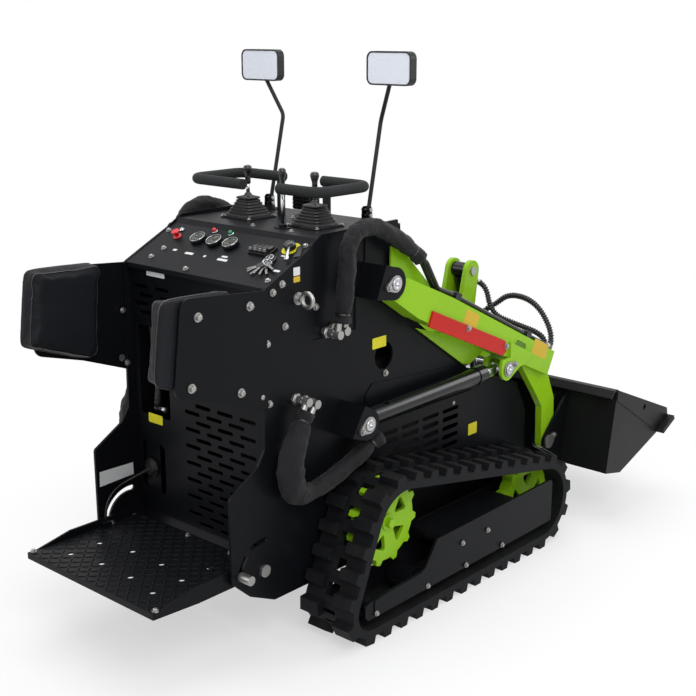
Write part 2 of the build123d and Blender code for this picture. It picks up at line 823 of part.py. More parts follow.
with BuildPart() as lift_rod:
    ram_rod((lift_front_x, lift_front_z), lift_middle, lift_angle, lift_rod_radius, lift_length - 80, eye_width)
both_sides(lift_rod, "lift_rod")

# Tilt cylinder, with a port forward near its top and one on its right near its gland
tilt_angle = degrees(atan2(tilt_low_z - tilt_top_z, tilt_low_x - tilt_top_x))
tilt_length = hypot(tilt_low_x - tilt_top_x, tilt_low_z - tilt_top_z)
tilt_barrel_length = tilt_length - tilt_rod_shown
top_port = turned((tilt_top_x + 62, tilt_top_z), (tilt_top_x, tilt_top_z), tilt_angle)
low_port = turned((tilt_top_x + 226, tilt_top_z), (tilt_top_x, tilt_top_z), tilt_angle)
top_port_end = turned((top_port[0] + 50, top_port[1]), top_port, tilt_angle + 90)
low_port_y = 50
with BuildPart() as tilt_barrel:
    ram_barrel((tilt_top_x, tilt_top_z), 0, tilt_angle, tilt_barrel_radius, tilt_barrel_length, tilt_eye_width)
    with BuildSketch(along_plane(top_port[0], 0, top_port[1], tilt_angle + 90)) as port:
        Circle(port_radius - 1)
    extrude(port.sketch, amount=50 + port_radius)
    disc(SIDE.offset(tilt_barrel_radius - 6), low_port, port_radius - 1, low_port_y + port_radius - tilt_barrel_radius + 6)
    with BuildSketch(along_plane(tilt_top_x, 0, tilt_top_z, tilt_angle).offset(40)):
        Circle(tilt_rod_radius + 0.05)
    extrude(amount=tilt_barrel_length, mode=Mode.SUBTRACT)
finish(tilt_barrel.part, "tilt_barrel")

with BuildPart() as tilt_rod:
    ram_rod((tilt_low_x, tilt_low_z), 0, tilt_angle, tilt_rod_radius, tilt_length - 66, tilt_eye_width)
finish(tilt_rod.part, "tilt_rod")

# Coupler: plate against the bucket's back, two ears at each arm leg and two for the tilt rod
back_run = (bucket_back_top[0] - bucket_back_foot[0], bucket_back_top[1] - bucket_back_foot[1])
back_length = hypot(*back_run)
back_dir = (back_run[0] / back_length, back_run[1] / back_length)


def on_back(up, away):
    """Point so far up the bucket's back and so far behind it"""
    return (
        bucket_back_foot[0] + back_dir[0] * up - back_dir[1] * away,
        bucket_back_foot[1] + back_dir[1] * up + back_dir[0] * away,
    )


ear_gap = 1.5
outer_ear = arm_middle + leg_thickness / 2 + ear_gap
inner_ear = arm_middle - leg_thickness / 2 - ear_gap - ear_plate
coupler_half = outer_ear + ear_plate
with BuildPart() as coupler:
    plate_outline = [on_back(14, 0), on_back(14, coupler_plate), on_back(262, coupler_plate), on_back(262, 0)]
    slab(SIDE.offset(-coupler_half), plate_outline, 2 * coupler_half)
    for start in (outer_ear, inner_ear, -outer_ear - ear_plate, -inner_ear - ear_plate):
        with BuildSketch(SIDE.offset(start)) as ear:
            Polygon(on_back(16, 6), on_back(250, 6), on_back(232, 26), (hitch_x, hitch_z), align=None)
            with Locations((hitch_x, hitch_z)):
                Circle(hitch_radius)
            make_hull()
            with Locations((hitch_x, hitch_z)):
                Circle(pin_radius, mode=Mode.SUBTRACT)
        extrude(amount=ear_plate)
    for start in (-tilt_eye_width / 2 - tilt_ear_gap - coupler_ear, tilt_eye_width / 2 + tilt_ear_gap):
        with BuildSketch(SIDE.offset(start)) as ear:
            Polygon(on_back(150, 6), on_back(225, 6), (tilt_low_x, tilt_low_z), align=None)
            with Locations((tilt_low_x, tilt_low_z)):
                Circle(22)
            make_hull()
            with Locations((tilt_low_x, tilt_low_z)):
                Circle(pin_radius, mode=Mode.SUBTRACT)
        extrude(amount=coupler_ear)
finish(coupler.part, "coupler")

with BuildPart() as bucket_pins:
    retained_pin((hitch_x, hitch_z), inner_ear, outer_ear + ear_plate, 30)
    mirror(bucket_pins.part, about=Plane.XZ)
    for start in (-tilt_eye_width / 2 - tilt_ear_gap - coupler_ear - 4, tilt_eye_width / 2 + tilt_ear_gap):
        disc(SIDE.offset(start), (tilt_low_x, tilt_low_z), pin_radius, coupler_ear + 4)
finish(bucket_pins.part, "bucket_pins")

# Bucket: bent shell, end plates, rearward lip and a cutting edge that stands out sideways
with BuildPart() as bucket:
    shell = [bucket_back_top, bucket_back_foot, bucket_heel, bucket_floor_end, bucket_edge_tip]
    slab(SIDE.offset(-bucket_half), strip(shell, bucket_sheet), 2 * bucket_half)
    end_outline = [bucket_back_top, bucket_back_foot, bucket_heel, bucket_floor_end, bucket_edge_tip, bucket_side_front]
    for start in (-bucket_half, bucket_half - bucket_side):
        slab(SIDE.offset(start), end_outline, bucket_side)
    top_x, top_z = bucket_back_top
    lip_path = [(top_x - 41, top_z - 21), (top_x - 23, top_z + 2), (top_x + 2, top_z + 1)]
    slab(SIDE.offset(-bucket_half), strip(lip_path, -bucket_sheet), 2 * bucket_half)
    edge_path = [bucket_floor_end, bucket_edge_tip]
    slab(SIDE.offset(-bucket_half - edge_overhang), strip(edge_path, edge_thickness), 2 * (bucket_half + edge_overhang))
    brace = [
        (top_x - 4, top_z - 36),
        (top_x + 1, top_z - 1),
        (bucket_side_front[0] - 2, bucket_side_front[1]),
        (bucket_edge_tip[0] - 10, bucket_edge_tip[1] + 15),
        (bucket_floor_end[0] - 18, bucket_floor_end[1] + 13),
    ]
    for start in (-bucket_half - 3, bucket_half):
        slab(SIDE.offset(start), brace, 3)
        disc(SIDE.offset(start), side_hole, side_hole_radius, 3, mode=Mode.SUBTRACT)
    for start in (-bucket_half, bucket_half - bucket_side):
        disc(SIDE.offset(start), side_hole, side_hole_radius, bucket_side, mode=Mode.SUBTRACT)
finish(bucket.part, "bucket")

# Platform: folded tray hinged between the side plates, with its spring latch at the right
with BuildPart() as platform:
    with BuildSketch(PLAN.offset(tread_z - tread_plate)) as tread:
        length = platform_front - platform_rear
        with Locations((platform_rear + length / 2, 0)):
            Rectangle(length, 2 * platform_half)
        for (row_x, row_y, pitch), count in zip(tread_hole_rows, tread_hole_counts):
            with Locations((row_x, row_y), (row_x, -row_y)):
                with GridLocations(pitch, 1, count, 1):
                    Circle(tread_hole_radius, mode=Mode.SUBTRACT)
    extrude(amount=tread_plate)
    flange_outline = [
        (platform_rear, tread_z),
        (platform_rear, tread_z - 18),
        (platform_rear + 150, flange_below),
        (platform_front, flange_below),
        (platform_front, flange_above),
        (platform_rear + 140, flange_above),
        (platform_rear + 30, tread_z),
    ]
    for start in (-platform_half, platform_half - flange_plate):
        slab(SIDE.offset(start), flange_outline, flange_plate)
    rear_fold = [(platform_rear, tread_z - 18), (platform_rear + 6, tread_z - 18), (platform_rear + 6, tread_z), (platform_rear, tread_z)]
    slab(SIDE.offset(-platform_half), rear_fold, 2 * platform_half)
    for start in (-platform_half, platform_half - flange_plate):
        disc(SIDE.offset(start), (platform_pivot_x, platform_pivot_z), pivot_pin_radius + 0.1, flange_plate, mode=Mode.SUBTRACT)
    switch_box = [(-342, tread_z), (-314, tread_z), (-314, switch_top), (-342, switch_top)]
    slab(SIDE.offset(flange_plate - platform_half), switch_box, 18)
    latch_at = turned((platform_pivot_x + latch_radius_of_turn, platform_pivot_z), (platform_pivot_x, platform_pivot_z), latch_start)
finish(platform.part, "platform")

with BuildPart() as latch:
    disc(SIDE.offset(platform_half), latch_at, latch_pin_radius, body_half + 8 - platform_half)
    disc(SIDE.offset(body_half + 2), latch_at, 13, 40)
finish(latch.part, "platform_latch")

with BuildPart() as pivot_bolts:
    disc(SIDE.offset(platform_half - flange_plate), (platform_pivot_x, platform_pivot_z), pivot_pin_radius, body_half - platform_half + flange_plate)
    disc(SIDE.offset(body_half), (platform_pivot_x, platform_pivot_z), 17, 9)
pair(pivot_bolts, "platform_bolts")

# Controls on the deck
with BuildPart() as lever:
    with BuildSketch(PLAN.offset(deck_z)) as base:
        with Locations((lever_x, -lever_y)):
            RectangleRounded(128, 116, 16)
    extrude(amount=8)
    for step in range(5):
        with BuildSketch(PLAN.offset(deck_z + 8 + step * 9)) as fold:
            with Locations((lever_x, -lever_y)):
                RectangleRounded(108 - step * 12, 100 - step * 12, 16)
        extrude(amount=6)
        with BuildSketch(PLAN.offset(deck_z + 14 + step * 9)) as groove:
            with Locations((lever_x, -lever_y)):
                RectangleRounded(94 - step * 12, 86 - step * 12, 14)
        extrude(amount=3)
    with BuildSketch(PLAN.offset(deck_z + 50)) as stem:
        with Locations((lever_x, -lever_y)):
            Circle(6)
    extrude(amount=lever_top_z - 36 - deck_z - 50)
    with BuildSketch(PLAN.offset(lever_top_z - 40)) as knob:
        with Locations((lever_x, -lever_y)):
            Circle(12)
    extrude(amount=40)
pair(lever, "joysticks")

with BuildPart() as grips:
    for side, inner_end in ((-1, grip_end_right), (1, grip_end_left)):
        bar_points = [
            (grip_rear_x - middle_x, side * inner_end, grip_z),
            (grip_rear_x - middle_x, side * grip_half, grip_z),
            (grip_front_x - middle_x, side * grip_half, grip_z),
            (grip_front_x - middle_x, side * (grip_post_y - 13), grip_z),
        ]
        with BuildLine() as bar_line:
            FilletPolyline(*bar_points, radius=grip_bend)
        with BuildSketch(Plane(origin=bar_points[0], z_dir=(0, side, 0))):
            Circle(grip_radius)
        sweep(path=bar_line.line)
        with BuildSketch(PLAN.offset(deck_z)):
            with Locations((grip_front_x, side * grip_post_y)):
                Circle(12)
        extrude(amount=grip_z - deck_z)
finish(grips.part, "grab_bars")

with BuildPart() as mirrors:
    stalk = [
        (mirror_base_x - middle_x, -mirror_base_y, deck_z + 4),
        (mirror_base_x + 62 - middle_x, -mirror_base_y + 3, mirror_bend_z),
        (mirror_base_x + 40 - middle_x, -mirror_centre_y + 8, mirror_centre_z - 40),
    ]
    with BuildLine() as stalk_line:
        FilletPolyline(*stalk, radius=40)
    with BuildSketch(Plane(origin=stalk[0], z_dir=stalk_line.line % 0)):
        Circle(6)
    sweep(path=stalk_line.line)
    disc(PLAN.offset(deck_z), (mirror_base_x, -mirror_base_y), 13, 14)
    glass = Plane(origin=(mirror_base_x + 36 - middle_x, -mirror_centre_y, mirror_centre_z), x_dir=(0, -1, 0), z_dir=(-1, 0, 0))
    with BuildSketch(glass.offset(-12)) as head:
        RectangleRounded(mirror_width, mirror_height, 20)
    extrude(amount=24)
pair(mirrors, "mirrors")

# Dash: its plane counts x to the right of the middle and y up the slope from the deck's edge
dash_run = deck_start_x - ridge_x - 8
dash_rise = deck_z - 14 - ridge_z
dash_length = hypot(dash_run, dash_rise)
DASH = Plane(
    origin=(deck_start_x - middle_x, 0, deck_z - 14),
    x_dir=(0, -1, 0),
    z_dir=(-dash_rise / dash_length, 0, dash_run / dash_length),
)
# Place right of the middle, place below the deck's edge, radius and height
round_controls = [
    (-111, 60, 24, 14),
    (-44, 60, 24, 14),
    (22, 60, 24, 14),
    (-88, 14, 8, 14),
    (-22, 14, 8, 14),
    (-203, 60, 7, 18),
    (-203, 60, 13, 6),
    (206, 92, 15, 12),
    (226, 32, 26, 3),
    (226, 32, 16, 22),
]
rocker_places = (118, 136, 154, 172)
with BuildPart() as instruments:
    for across, down, radius, height in round_controls:
        disc(DASH, (across, -down), radius, height)
    for across in (-111, -44, 22):
        disc(DASH.offset(11), (across, -60), 20, 3, mode=Mode.SUBTRACT)
    with BuildSketch(DASH):
        with Locations((145, -60)):
            Rectangle(76, 36)
    extrude(amount=5)
    for across in rocker_places:
        with BuildSketch(SIDE.offset(across - 8)):
            with Locations(Location((0, 0), 0)):
                edge = (deck_start_x, deck_z - 14)
                slope = degrees(atan2(dash_rise, dash_run))
                rocker = [(-74, 3), (-46, 3), (-46, 10), (-60, 9), (-74, 15)]
                Polygon(*[turned((edge[0] + dx, edge[1] + dz), edge, slope) for dx, dz in rocker], align=None)
        extrude(amount=15)
finish(instruments.part, "instruments")

with BuildPart() as centre_lever:
    disc(PLAN.offset(deck_z), (lever_stand_x, -lever_stand_y), 14, 4)
    disc(PLAN.offset(deck_z), (lever_stand_x, -lever_stand_y), 5, 136)
    disc(PLAN.offset(deck_z + 134), (lever_stand_x, -lever_stand_y), 9.5, 32)
finish(centre_lever.part, "centre_lever")

with BuildPart() as light:
    lamp_low = deck_z + 12
    lamp_face = [(light_x - 12, lamp_low), (light_x + 16, lamp_low), (light_x + 16, lamp_low + 50), (light_x - 12, lamp_low + 50)]
    slab(SIDE.offset(-light_y - light_width / 2), lamp_face, light_width, 5)
    with BuildSketch(REAR.offset(-light_x + 12)) as fins:
        with Locations((-light_y, lamp_low + 25)):
            with GridLocations(light_width / 7, 1, 7, 1):
                Rectangle(3.4, 44)
    extrude(amount=8)
    disc(PLAN.offset(deck_z), (light_x, light_y), 8, 13)
finish(light.part, "work_light")

with BuildPart() as eyes:
    for side in (-1, 1):
        stand = Plane(origin=(eye_x - middle_x, side * body_half, eye_z), z_dir=(0, side, 0))
        with BuildSketch(stand):
            Circle(17)
        extrude(amount=5)
        with BuildSketch(stand):
            Circle(9)
        extrude(amount=18)
        ring_centre = (eye_x - middle_x, side * (body_half + 36), eye_z)
        with Locations(Location(ring_centre, (0, 90, 0))):
            Torus(19, 6)
finish(eyes.part, "lifting_eyes")

# Hoses: each is a round line that runs through its points with rounded corners
hose_y = body_half + 46
sleeve_radius = 25
hose_radius = 8
fitting_radius = 12


def tube(points, radius, bends):
    """Round tube along points with rounded corners, one radius to each corner"""
    placed = [(x - middle_x, y, z) for x, y, z in points]
    with BuildLine() as route:
        FilletPolyline(*placed, radius=bends)
    with BuildSketch(Plane(origin=placed[0], z_dir=route.line % 0)) as section:
        Circle(radius)
    sweep(section.sketch, path=route.line)


def on_side(points, y):
    """Side-view points placed on the right, so far from the middle"""
    return [(x, -y, z) for x, z in points]


def fitting(place, depth, route):
    """Stub out of the body's side, with a neck that runs up to the end of a sleeve"""
    start = body_half - depth
    disc(SIDE.offset(start), place, fitting_radius, hose_y + fitting_radius - start)
    (x1, z1), (x2, z2) = route[:2]
    angle = atan2(z2 - z1, x2 - x1)
    reach = (x1 - place[0]) * cos(angle) + (z1 - place[1]) * sin(angle) - hose_play
    with BuildSketch(along_plane(place[0], hose_y, place[1], degrees(angle))) as neck:
        Circle(fitting_radius - 3)
    extrude(neck.sketch, amount=reach)


upper_route = [(44, 885), (62, 1000), (70, 1122), (206, 1140), (372, 1018)]
with BuildPart() as upper_hose:
    tube(on_side(upper_route, hose_y), sleeve_radius, [80, 60, 110])
both_sides(upper_hose, "upper_hose")

with BuildPart() as lower_hose:
    tube(on_side(lower_route, hose_y), sleeve_radius, [70, 60, 90])
both_sides(lower_hose, "lower_hose")

with BuildPart() as fittings:
    for place in ((26, 856), (54, 862)):
        fitting(place, recess_depth, upper_route)
    for place in ((-96, 697), (-64, 684)):
        fitting(place, 0, lower_route)
pair(fittings, "hose_fittings")

tube_radius = 7
tube_rise = 9
tube_places = (body_half + 33, body_half + 52)
rear_slope = atan2(arm_top_mid[1] - arm_top_rear[1], arm_top_mid[0] - arm_top_rear[0])
front_slope = radians(arm_angle)
tube_end_x = 1046
tube_end_z = arm_top_front[1] + (arm_top_front[0] - tube_end_x) * 0.486 + tube_rise + 2
tube_route = [
    (372.5, 1017.6),
    (398, 999),
    (452, 904 + tube_rise + 2),
    (arm_top_mid[0] + 5, arm_top_mid[1] + tube_rise + 2),
    (tube_end_x, tube_end_z),
]
with BuildPart() as arm_tubes:
    for y in tube_places:
        tube(on_side(tube_route, y), tube_radius, [30, 30, 60])
    for along in (0.06, 0.78):
        x = tube_route[-2][0] + along * (tube_route[-1][0] - tube_route[-2][0])
        z = tube_route[-2][1] + along * (tube_route[-1][1] - tube_route[-2][1])
        clamp = [(-14, -10), (14, -10), (14, 12), (-14, 12)]
        outline = [turned((x + dx, z + dz), (x, z), arm_angle) for dx, dz in clamp]
        slab(SIDE.offset(tube_places[0] - 12), outline, tube_places[1] - tube_places[0] + 24, 4)
    mirror(arm_tubes.part, about=Plane.XZ)
finish(arm_tubes.part, "arm_tubes")

# The two hoses of the tilt cylinder leave the right arm's tubes and arch over to its ports
tilt_start = turned((tube_end_x + 7.5, tube_end_z), (tube_end_x, tube_end_z), arm_angle)
tilt_ahead = turned((tube_end_x + 40, tube_end_z), (tube_end_x, tube_end_z), arm_angle)
tilt_outer = [
    (tilt_start[0], -tube_places[1], tilt_start[1]),
    (tilt_ahead[0], -tube_places[1], tilt_ahead[1]),
    (1104, 17 - tube_places[1], 672),
    (1114, -250, 752),
    (1122, -140, 764),
    (1112, -84, 716),
    (low_port[0], -low_port_y, 690),
    (low_port[0], -low_port_y, low_port[1] + port_radius - 1 + hose_play),
]
tilt_inner = [
    (tilt_start[0], -tube_places[0], tilt_start[1]),
    (tilt_ahead[0], -tube_places[0], tilt_ahead[1]),
    (1092, 24 - tube_places[0], 650),
    (1094, -180, 668),
    (1074, -96, 694),
    (top_port_end[0], -58, top_port_end[1]),
    (top_port_end[0], -port_radius + 1 - hose_play, top_port_end[1]),
]
with BuildPart() as tilt_hoses:
    tube(tilt_outer, hose_radius, [24, 60, 70, 50, 40, 30])
    tube(tilt_inner, hose_radius, [22, 40, 60, 40, 28])
    for y in tube_places:
        nut = Plane(origin=(tube_end_x - middle_x, -y, tube_end_z), z_dir=(cos(front_slope), 0, sin(front_slope)))
        with BuildSketch(nut.offset(hose_play)) as nut_face:
            RegularPolygon(9, 6)
        extrude(nut_face.sketch, amount=20)
finish(tilt_hoses.part, "tilt_hoses")

# Plug in the lower window and its cable to the switch on the platform
cable_y = platform_half - 15
cable_route = [
    (-186, 4 - plug_y, 396),
    (-232, cable_y - 3, 372),
    (-296, cable_y + 1, 352),
    (-328, cable_y, 310),
    (-328, cable_y, switch_top + hose_play),
]
with BuildPart() as cable:
    tube(cable_route, 4, [24, 30, 16])
    with BuildSketch(REAR.offset(-rear_panel_x - rear_panel_thickness + hose_play)) as plug:
        with Locations((plug_y, 400)):
            Circle(28)
    extrude(amount=rear_panel_thickness + 12)
finish(cable.part, "platform_cable")
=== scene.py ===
"""Finishes, soft goods, fasteners and studio of a stand-on tracked loader."""

import logging
import math
from dataclasses import dataclass, field
from enum import Enum
from typing import Any, Callable, Sequence

import bmesh
import bpy
from mathutils import Matrix, Vector, noise
from mathutils.bvhtree import BVHTree


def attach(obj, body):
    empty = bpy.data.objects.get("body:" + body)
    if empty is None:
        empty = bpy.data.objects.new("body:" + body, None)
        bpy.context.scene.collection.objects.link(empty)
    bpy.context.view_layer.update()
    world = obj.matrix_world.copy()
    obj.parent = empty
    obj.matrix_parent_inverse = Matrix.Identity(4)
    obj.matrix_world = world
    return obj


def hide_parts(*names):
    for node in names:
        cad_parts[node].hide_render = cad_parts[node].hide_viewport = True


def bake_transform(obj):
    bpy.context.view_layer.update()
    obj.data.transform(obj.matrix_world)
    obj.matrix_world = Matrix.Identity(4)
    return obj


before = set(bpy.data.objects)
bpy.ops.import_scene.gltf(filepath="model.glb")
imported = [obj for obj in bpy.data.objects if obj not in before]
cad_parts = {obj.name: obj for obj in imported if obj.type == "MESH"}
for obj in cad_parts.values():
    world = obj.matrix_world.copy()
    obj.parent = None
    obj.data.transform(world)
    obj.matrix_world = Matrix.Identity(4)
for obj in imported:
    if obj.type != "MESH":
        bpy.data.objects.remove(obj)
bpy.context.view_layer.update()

logging.basicConfig(level=logging.INFO, format="%(message)s")
log = logging.getLogger("loader")

Material = bpy.types.Material
Socket = bpy.types.NodeSocket
Colour = tuple[float, float, float]
Place = tuple[float, float, float]
Pair = tuple[float, float]
Spot = tuple[Vector, Vector, float, float]
Placer = Callable[[float, float, float], Vector]
Radius = Callable[[float, float], float]

# Where the machine's main faces lie, in its own millimetres
MIDDLE_X = 501.0
DECK_Z = 1112.0
TREAD_Z = 250.0
REAR_X = -180.0
WALL_Y = 287.0
WALL_INNER_Y = 279.0
GRILLE_Y = 290.0
PAD_Y = 292.0
ARM_Y = 358.0
STRUT_Y = 365.0
FRAME_Y = 471.0

# The thickness of a plate on the deck, the arms' lean in degrees, how far a sticker stands off
# its wall, and the way up
PLATE = 3.5
ARM_LEAN = -25.9
SKIN = 0.05
UP = Vector((0, 0, 1))


def at(x: float, y: float, z: float) -> Vector:
    """Turns a place on the machine in millimetres into metres in the shared frame."""
    return Vector(((x - MIDDLE_X) / 1000, y / 1000, z / 1000))


class Side(Enum):
    """Which side of the machine a piece is on, as the sign of its y."""

    RIGHT = -1
    LEFT = 1

    @property
    def word(self) -> str:
        """The side's name in lower case."""
        return self.name.lower()


class Body(Enum):
    """The moving bodies that pieces ride on."""

    MACHINE = "machine"
    ARMS = "arms"
    PLATFORM = "platform"


# Shader maths


class Signal:
    """A number on a node's socket. Arithmetic on it adds Math nodes to its shader."""

    def __init__(self, shader: "Shader", socket: Socket) -> None:
        """Keeps the shader and the socket."""
        self.shader = shader
        self.socket = socket

    def _math(self, operation: str, first: Any, second: Any) -> "Signal":
        """Adds one Math node."""
        return self.shader.signal("ShaderNodeMath", {"operation": operation}, {0: first, 1: second})

    def __add__(self, other: Any) -> "Signal":
        """Sum."""
        return self._math("ADD", self, other)

    def __radd__(self, other: Any) -> "Signal":
        """Sum, reflected."""
        return self._math("ADD", other, self)

    def __sub__(self, other: Any) -> "Signal":
        """Difference."""
        return self._math("SUBTRACT", self, other)

    def __rsub__(self, other: Any) -> "Signal":
        """Difference, reflected."""
        return self._math("SUBTRACT", other, self)

    def __mul__(self, other: Any) -> "Signal":
        """Product."""
        return self._math("MULTIPLY", self, other)

    def __rmul__(self, other: Any) -> "Signal":
        """Product, reflected."""
        return self._math("MULTIPLY", other, self)

    def __gt__(self, other: Any) -> "Signal":
        """One where this is larger."""
        return self._math("GREATER_THAN", self, other)

    def power(self, exponent: float) -> "Signal":
        """This raised to a power."""
        return self._math("POWER", self, exponent)

    def wave(self, turns: float) -> "Signal":
        """A sine of this, with so many turns to one unit."""
        return self._math("SINE", self * (2 * math.pi * turns), 0.0)

    def clamped(self) -> "Signal":
        """This held between nought and one."""
        return self.shader.signal("ShaderNodeClamp", {}, {"Value": self})


class Shader:
    """The node tree of a material or a world, built by one method that adds a node."""

    def __init__(self, owner: Material | bpy.types.World) -> None:
        """Starts an empty tree.

        Args:
            owner: The material or the world.
        """
        self.owner = owner
        owner.use_nodes = True
        self.tree = owner.node_tree
        self.tree.nodes.clear()

    @classmethod
    def of_material(cls, name: str) -> "Shader":
        """Starts the tree of a new material."""
        return cls(bpy.data.materials.new(name))

    def node(self, kind: str, settings: dict[str, Any], values: dict[Any, Any]) -> bpy.types.Node:
        """Adds a node.

        Args:
            kind: The node's type.
            settings: Its settings, set first. "stops" holds a ramp's places and colours.
            values: Values or links of its sockets, by name or index.

        Returns:
            The node.
        """
        made = self.tree.nodes.new(kind)
        for key, value in settings.items():
            if key == "stops":
                ramp = made.color_ramp.elements
                while len(ramp) < len(value):
                    ramp.new(0.5)
                for element, (place, colour) in zip(ramp, value):
                    element.position = place
                    element.color = (*colour, 1.0)
            else:
                setattr(made, key, value)
        for key, value in values.items():
            if isinstance(value, Signal):
                self.tree.links.new(value.socket, made.inputs[key])
            elif isinstance(value, Socket):
                self.tree.links.new(value, made.inputs[key])
            elif isinstance(value, tuple) and len(value) == 3 and made.inputs[key].type == "RGBA":
                made.inputs[key].default_value = (*value, 1.0)
            else:
                made.inputs[key].default_value = value
        return made

    def signal(self, kind: str, settings: dict[str, Any], values: dict[Any, Any],
               output: Any = 0) -> Signal:
        """Adds a node and wraps one of its outputs."""
        return Signal(self, self.node(kind, settings, values).outputs[output])

    def place(self) -> Socket:
        """Object coordinates."""
        return self.node("ShaderNodeTexCoord", {}, {}).outputs["Object"]

    def layout(self) -> Socket:
        """The piece's own UV map."""
        return self.node("ShaderNodeTexCoord", {}, {}).outputs["UV"]

    def axis(self, vector: Socket, name: str) -> Signal:
        """One part of a vector."""
        return self.signal("ShaderNodeSeparateXYZ", {}, {0: vector}, name)

    def cloud(self, vector: Socket, scale: float, detail: float = 3.0) -> Signal:
        """Noise between nought and one."""
        values = {"Vector": vector, "Scale": scale, "Detail": detail, "Roughness": 0.55}
        return self.signal("ShaderNodeTexNoise", {}, values, "Fac")

    def facing_up(self) -> Signal:
        """One on faces that look up, nought on the rest."""
        normal = self.node("ShaderNodeNewGeometry", {}, {}).outputs["Normal"]
        return self.axis(normal, "Z").clamped()

    def mix(self, factor: Signal, low: Any, high: Any) -> Socket:
        """Mixes two colours."""
        made = self.node("ShaderNodeMix", {"data_type": "RGBA"}, {0: factor, 6: low, 7: high})
        return made.outputs[2]

    def bump(self, height: Signal, distance: float, strength: float = 1.0,
             edge: float = 0.0) -> Socket:
        """Relief, over edges rounded by so many metres if asked.

        Args:
            height: The relief's height.
            distance: Metres for a height of one.
            strength: How strong it is.
            edge: The radius that edges are shaded with.

        Returns:
            The normal's socket.
        """
        values: dict[str, Any] = {"Height": height, "Distance": distance, "Strength": strength}
        if edge:
            rounded = self.node("ShaderNodeBevel", {"samples": 4}, {"Radius": edge})
            values["Normal"] = rounded.outputs[0]
        return self.node("ShaderNodeBump", {}, values).outputs[0]

    def finish(self, **values: Any) -> Material:
        """Ends the tree in a Principled shader.

        Args:
            **values: Its sockets, with underscores for the spaces in their names.

        Returns:
            The material.
        """
        sockets = {key.replace("_", " "): value for key, value in values.items()}
        body = self.node("ShaderNodeBsdfPrincipled", {}, sockets)
        self.node("ShaderNodeOutputMaterial", {}, {"Surface": body.outputs[0]})
        return self.owner


# Finishes


def shaded(colour: Colour, share: float) -> Colour:
    """A colour times a share, which is over one for a paler colour."""
    return tuple(part * share for part in colour)


@dataclass(frozen=True)
class Paint:
    """Sprayed enamel on steel: orange peel, uneven gloss, and dust on what faces up."""

    name: str
    colour: Colour
    roughness: float = 0.34
    dust: float = 0.25
    dust_colour: Colour = (0.10, 0.098, 0.092)
    peel: float = 0.00012
    edge: float = 0.0014
    shine: float = 0.5
    coat: float = 0.12

    def make(self) -> Material:
        """Builds the material.

        Returns:
            The material.
        """
        s = Shader.of_material(self.name)
        place = s.place()
        broad, fine = s.cloud(place, 5.0), s.cloud(place, 46.0, 5.0)
        dirt = (s.facing_up() * self.dust + (broad - 0.5) * 0.10) * (fine * 1.4 - 0.25)
        dirt = dirt.clamped()
        colour = s.mix(dirt, self.colour, self.dust_colour)
        shade = s.mix((broad * 0.5).clamped(), colour, shaded(self.colour, 0.72))
        relief = s.cloud(place, 420.0, 2.0)
        gloss = (broad * 0.14 + fine * 0.08 + dirt * 0.5 + (self.roughness - 0.11)).clamped()
        return s.finish(
            Base_Color=shade, Roughness=gloss, Normal=s.bump(relief, self.peel, 1.0, self.edge),
            Coat_Weight=self.coat, Coat_Roughness=0.18, Specular_IOR_Level=self.shine,
        )


@dataclass(frozen=True)
class TrackRubber:
    """Moulded track rubber, greyer where it has been in the dirt."""

    name: str
    colour: Colour = (0.0055, 0.0060, 0.0075)
    soil: Colour = (0.022, 0.021, 0.020)

    def make(self) -> Material:
        """Builds the material.

        Returns:
            The material.
        """
        s = Shader.of_material(self.name)
        place = s.place()
        patch, grit = s.cloud(place, 16.0, 6.0), s.cloud(place, 210.0, 3.0)
        dirt = ((patch - 0.46) * 2.2 + s.facing_up() * 0.30).clamped() * (grit * 0.7 + 0.2)
        colour = s.mix(dirt.clamped(), self.colour, self.soil)
        return s.finish(
            Base_Color=colour, Roughness=(0.60 + dirt * 0.25).clamped(),
            Normal=s.bump(grit + patch * 0.6, 0.0005, 0.8, 0.0018), Specular_IOR_Level=0.12,
        )


@dataclass(frozen=True)
class Hide:
    """Coated cloth of the thigh pads: pebble grain over soft creases."""

    name: str
    colour: Colour = (0.0060, 0.0065, 0.0085)

    def make(self) -> Material:
        """Builds the material.

        Returns:
            The material.
        """
        s = Shader.of_material(self.name)
        place = s.place()
        values = {"Vector": place, "Scale": 640.0}
        pebble = s.signal("ShaderNodeTexVoronoi", {"feature": "DISTANCE_TO_EDGE"}, values, "Distance")
        crease, broad = s.cloud(place, 60.0, 4.0), s.cloud(place, 8.0)
        relief = (pebble * 4.0).clamped() * 0.6 + crease * 0.5
        colour = s.mix((broad * 0.7).clamped(), self.colour, (0.013, 0.0135, 0.017))
        return s.finish(
            Base_Color=colour, Roughness=(0.44 + broad * 0.14 - pebble * 0.3).clamped(),
            Normal=s.bump(relief, 0.0004, 0.7), Specular_IOR_Level=0.12,
        )


@dataclass(frozen=True)
class Weave:
    """Woven nylon, with its threads along and round the piece's UV map."""

    name: str
    colour: Colour = (0.005, 0.005, 0.006)
    along: float = 520.0
    around: float = 90.0
    sheen: float = 0.06

    def make(self) -> Material:
        """Builds the material.

        Returns:
            The material.
        """
        s = Shader.of_material(self.name)
        layout, place = s.layout(), s.place()
        warp = s.axis(layout, "X").wave(self.along)
        weft = s.axis(layout, "Y").wave(self.around)
        thread = warp * weft * 0.5 + 0.5
        worn = s.cloud(place, 22.0, 4.0)
        faded = shaded(self.colour, 2.3)
        colour = s.mix((thread * 0.35 + worn * 0.4).clamped(), self.colour, faded)
        return s.finish(
            Base_Color=colour, Roughness=(0.62 + worn * 0.2).clamped(), Sheen_Weight=self.sheen,
            Sheen_Roughness=0.5, Normal=s.bump(thread + worn * 0.8, 0.00035, 0.7),
            Specular_IOR_Level=0.2,
        )


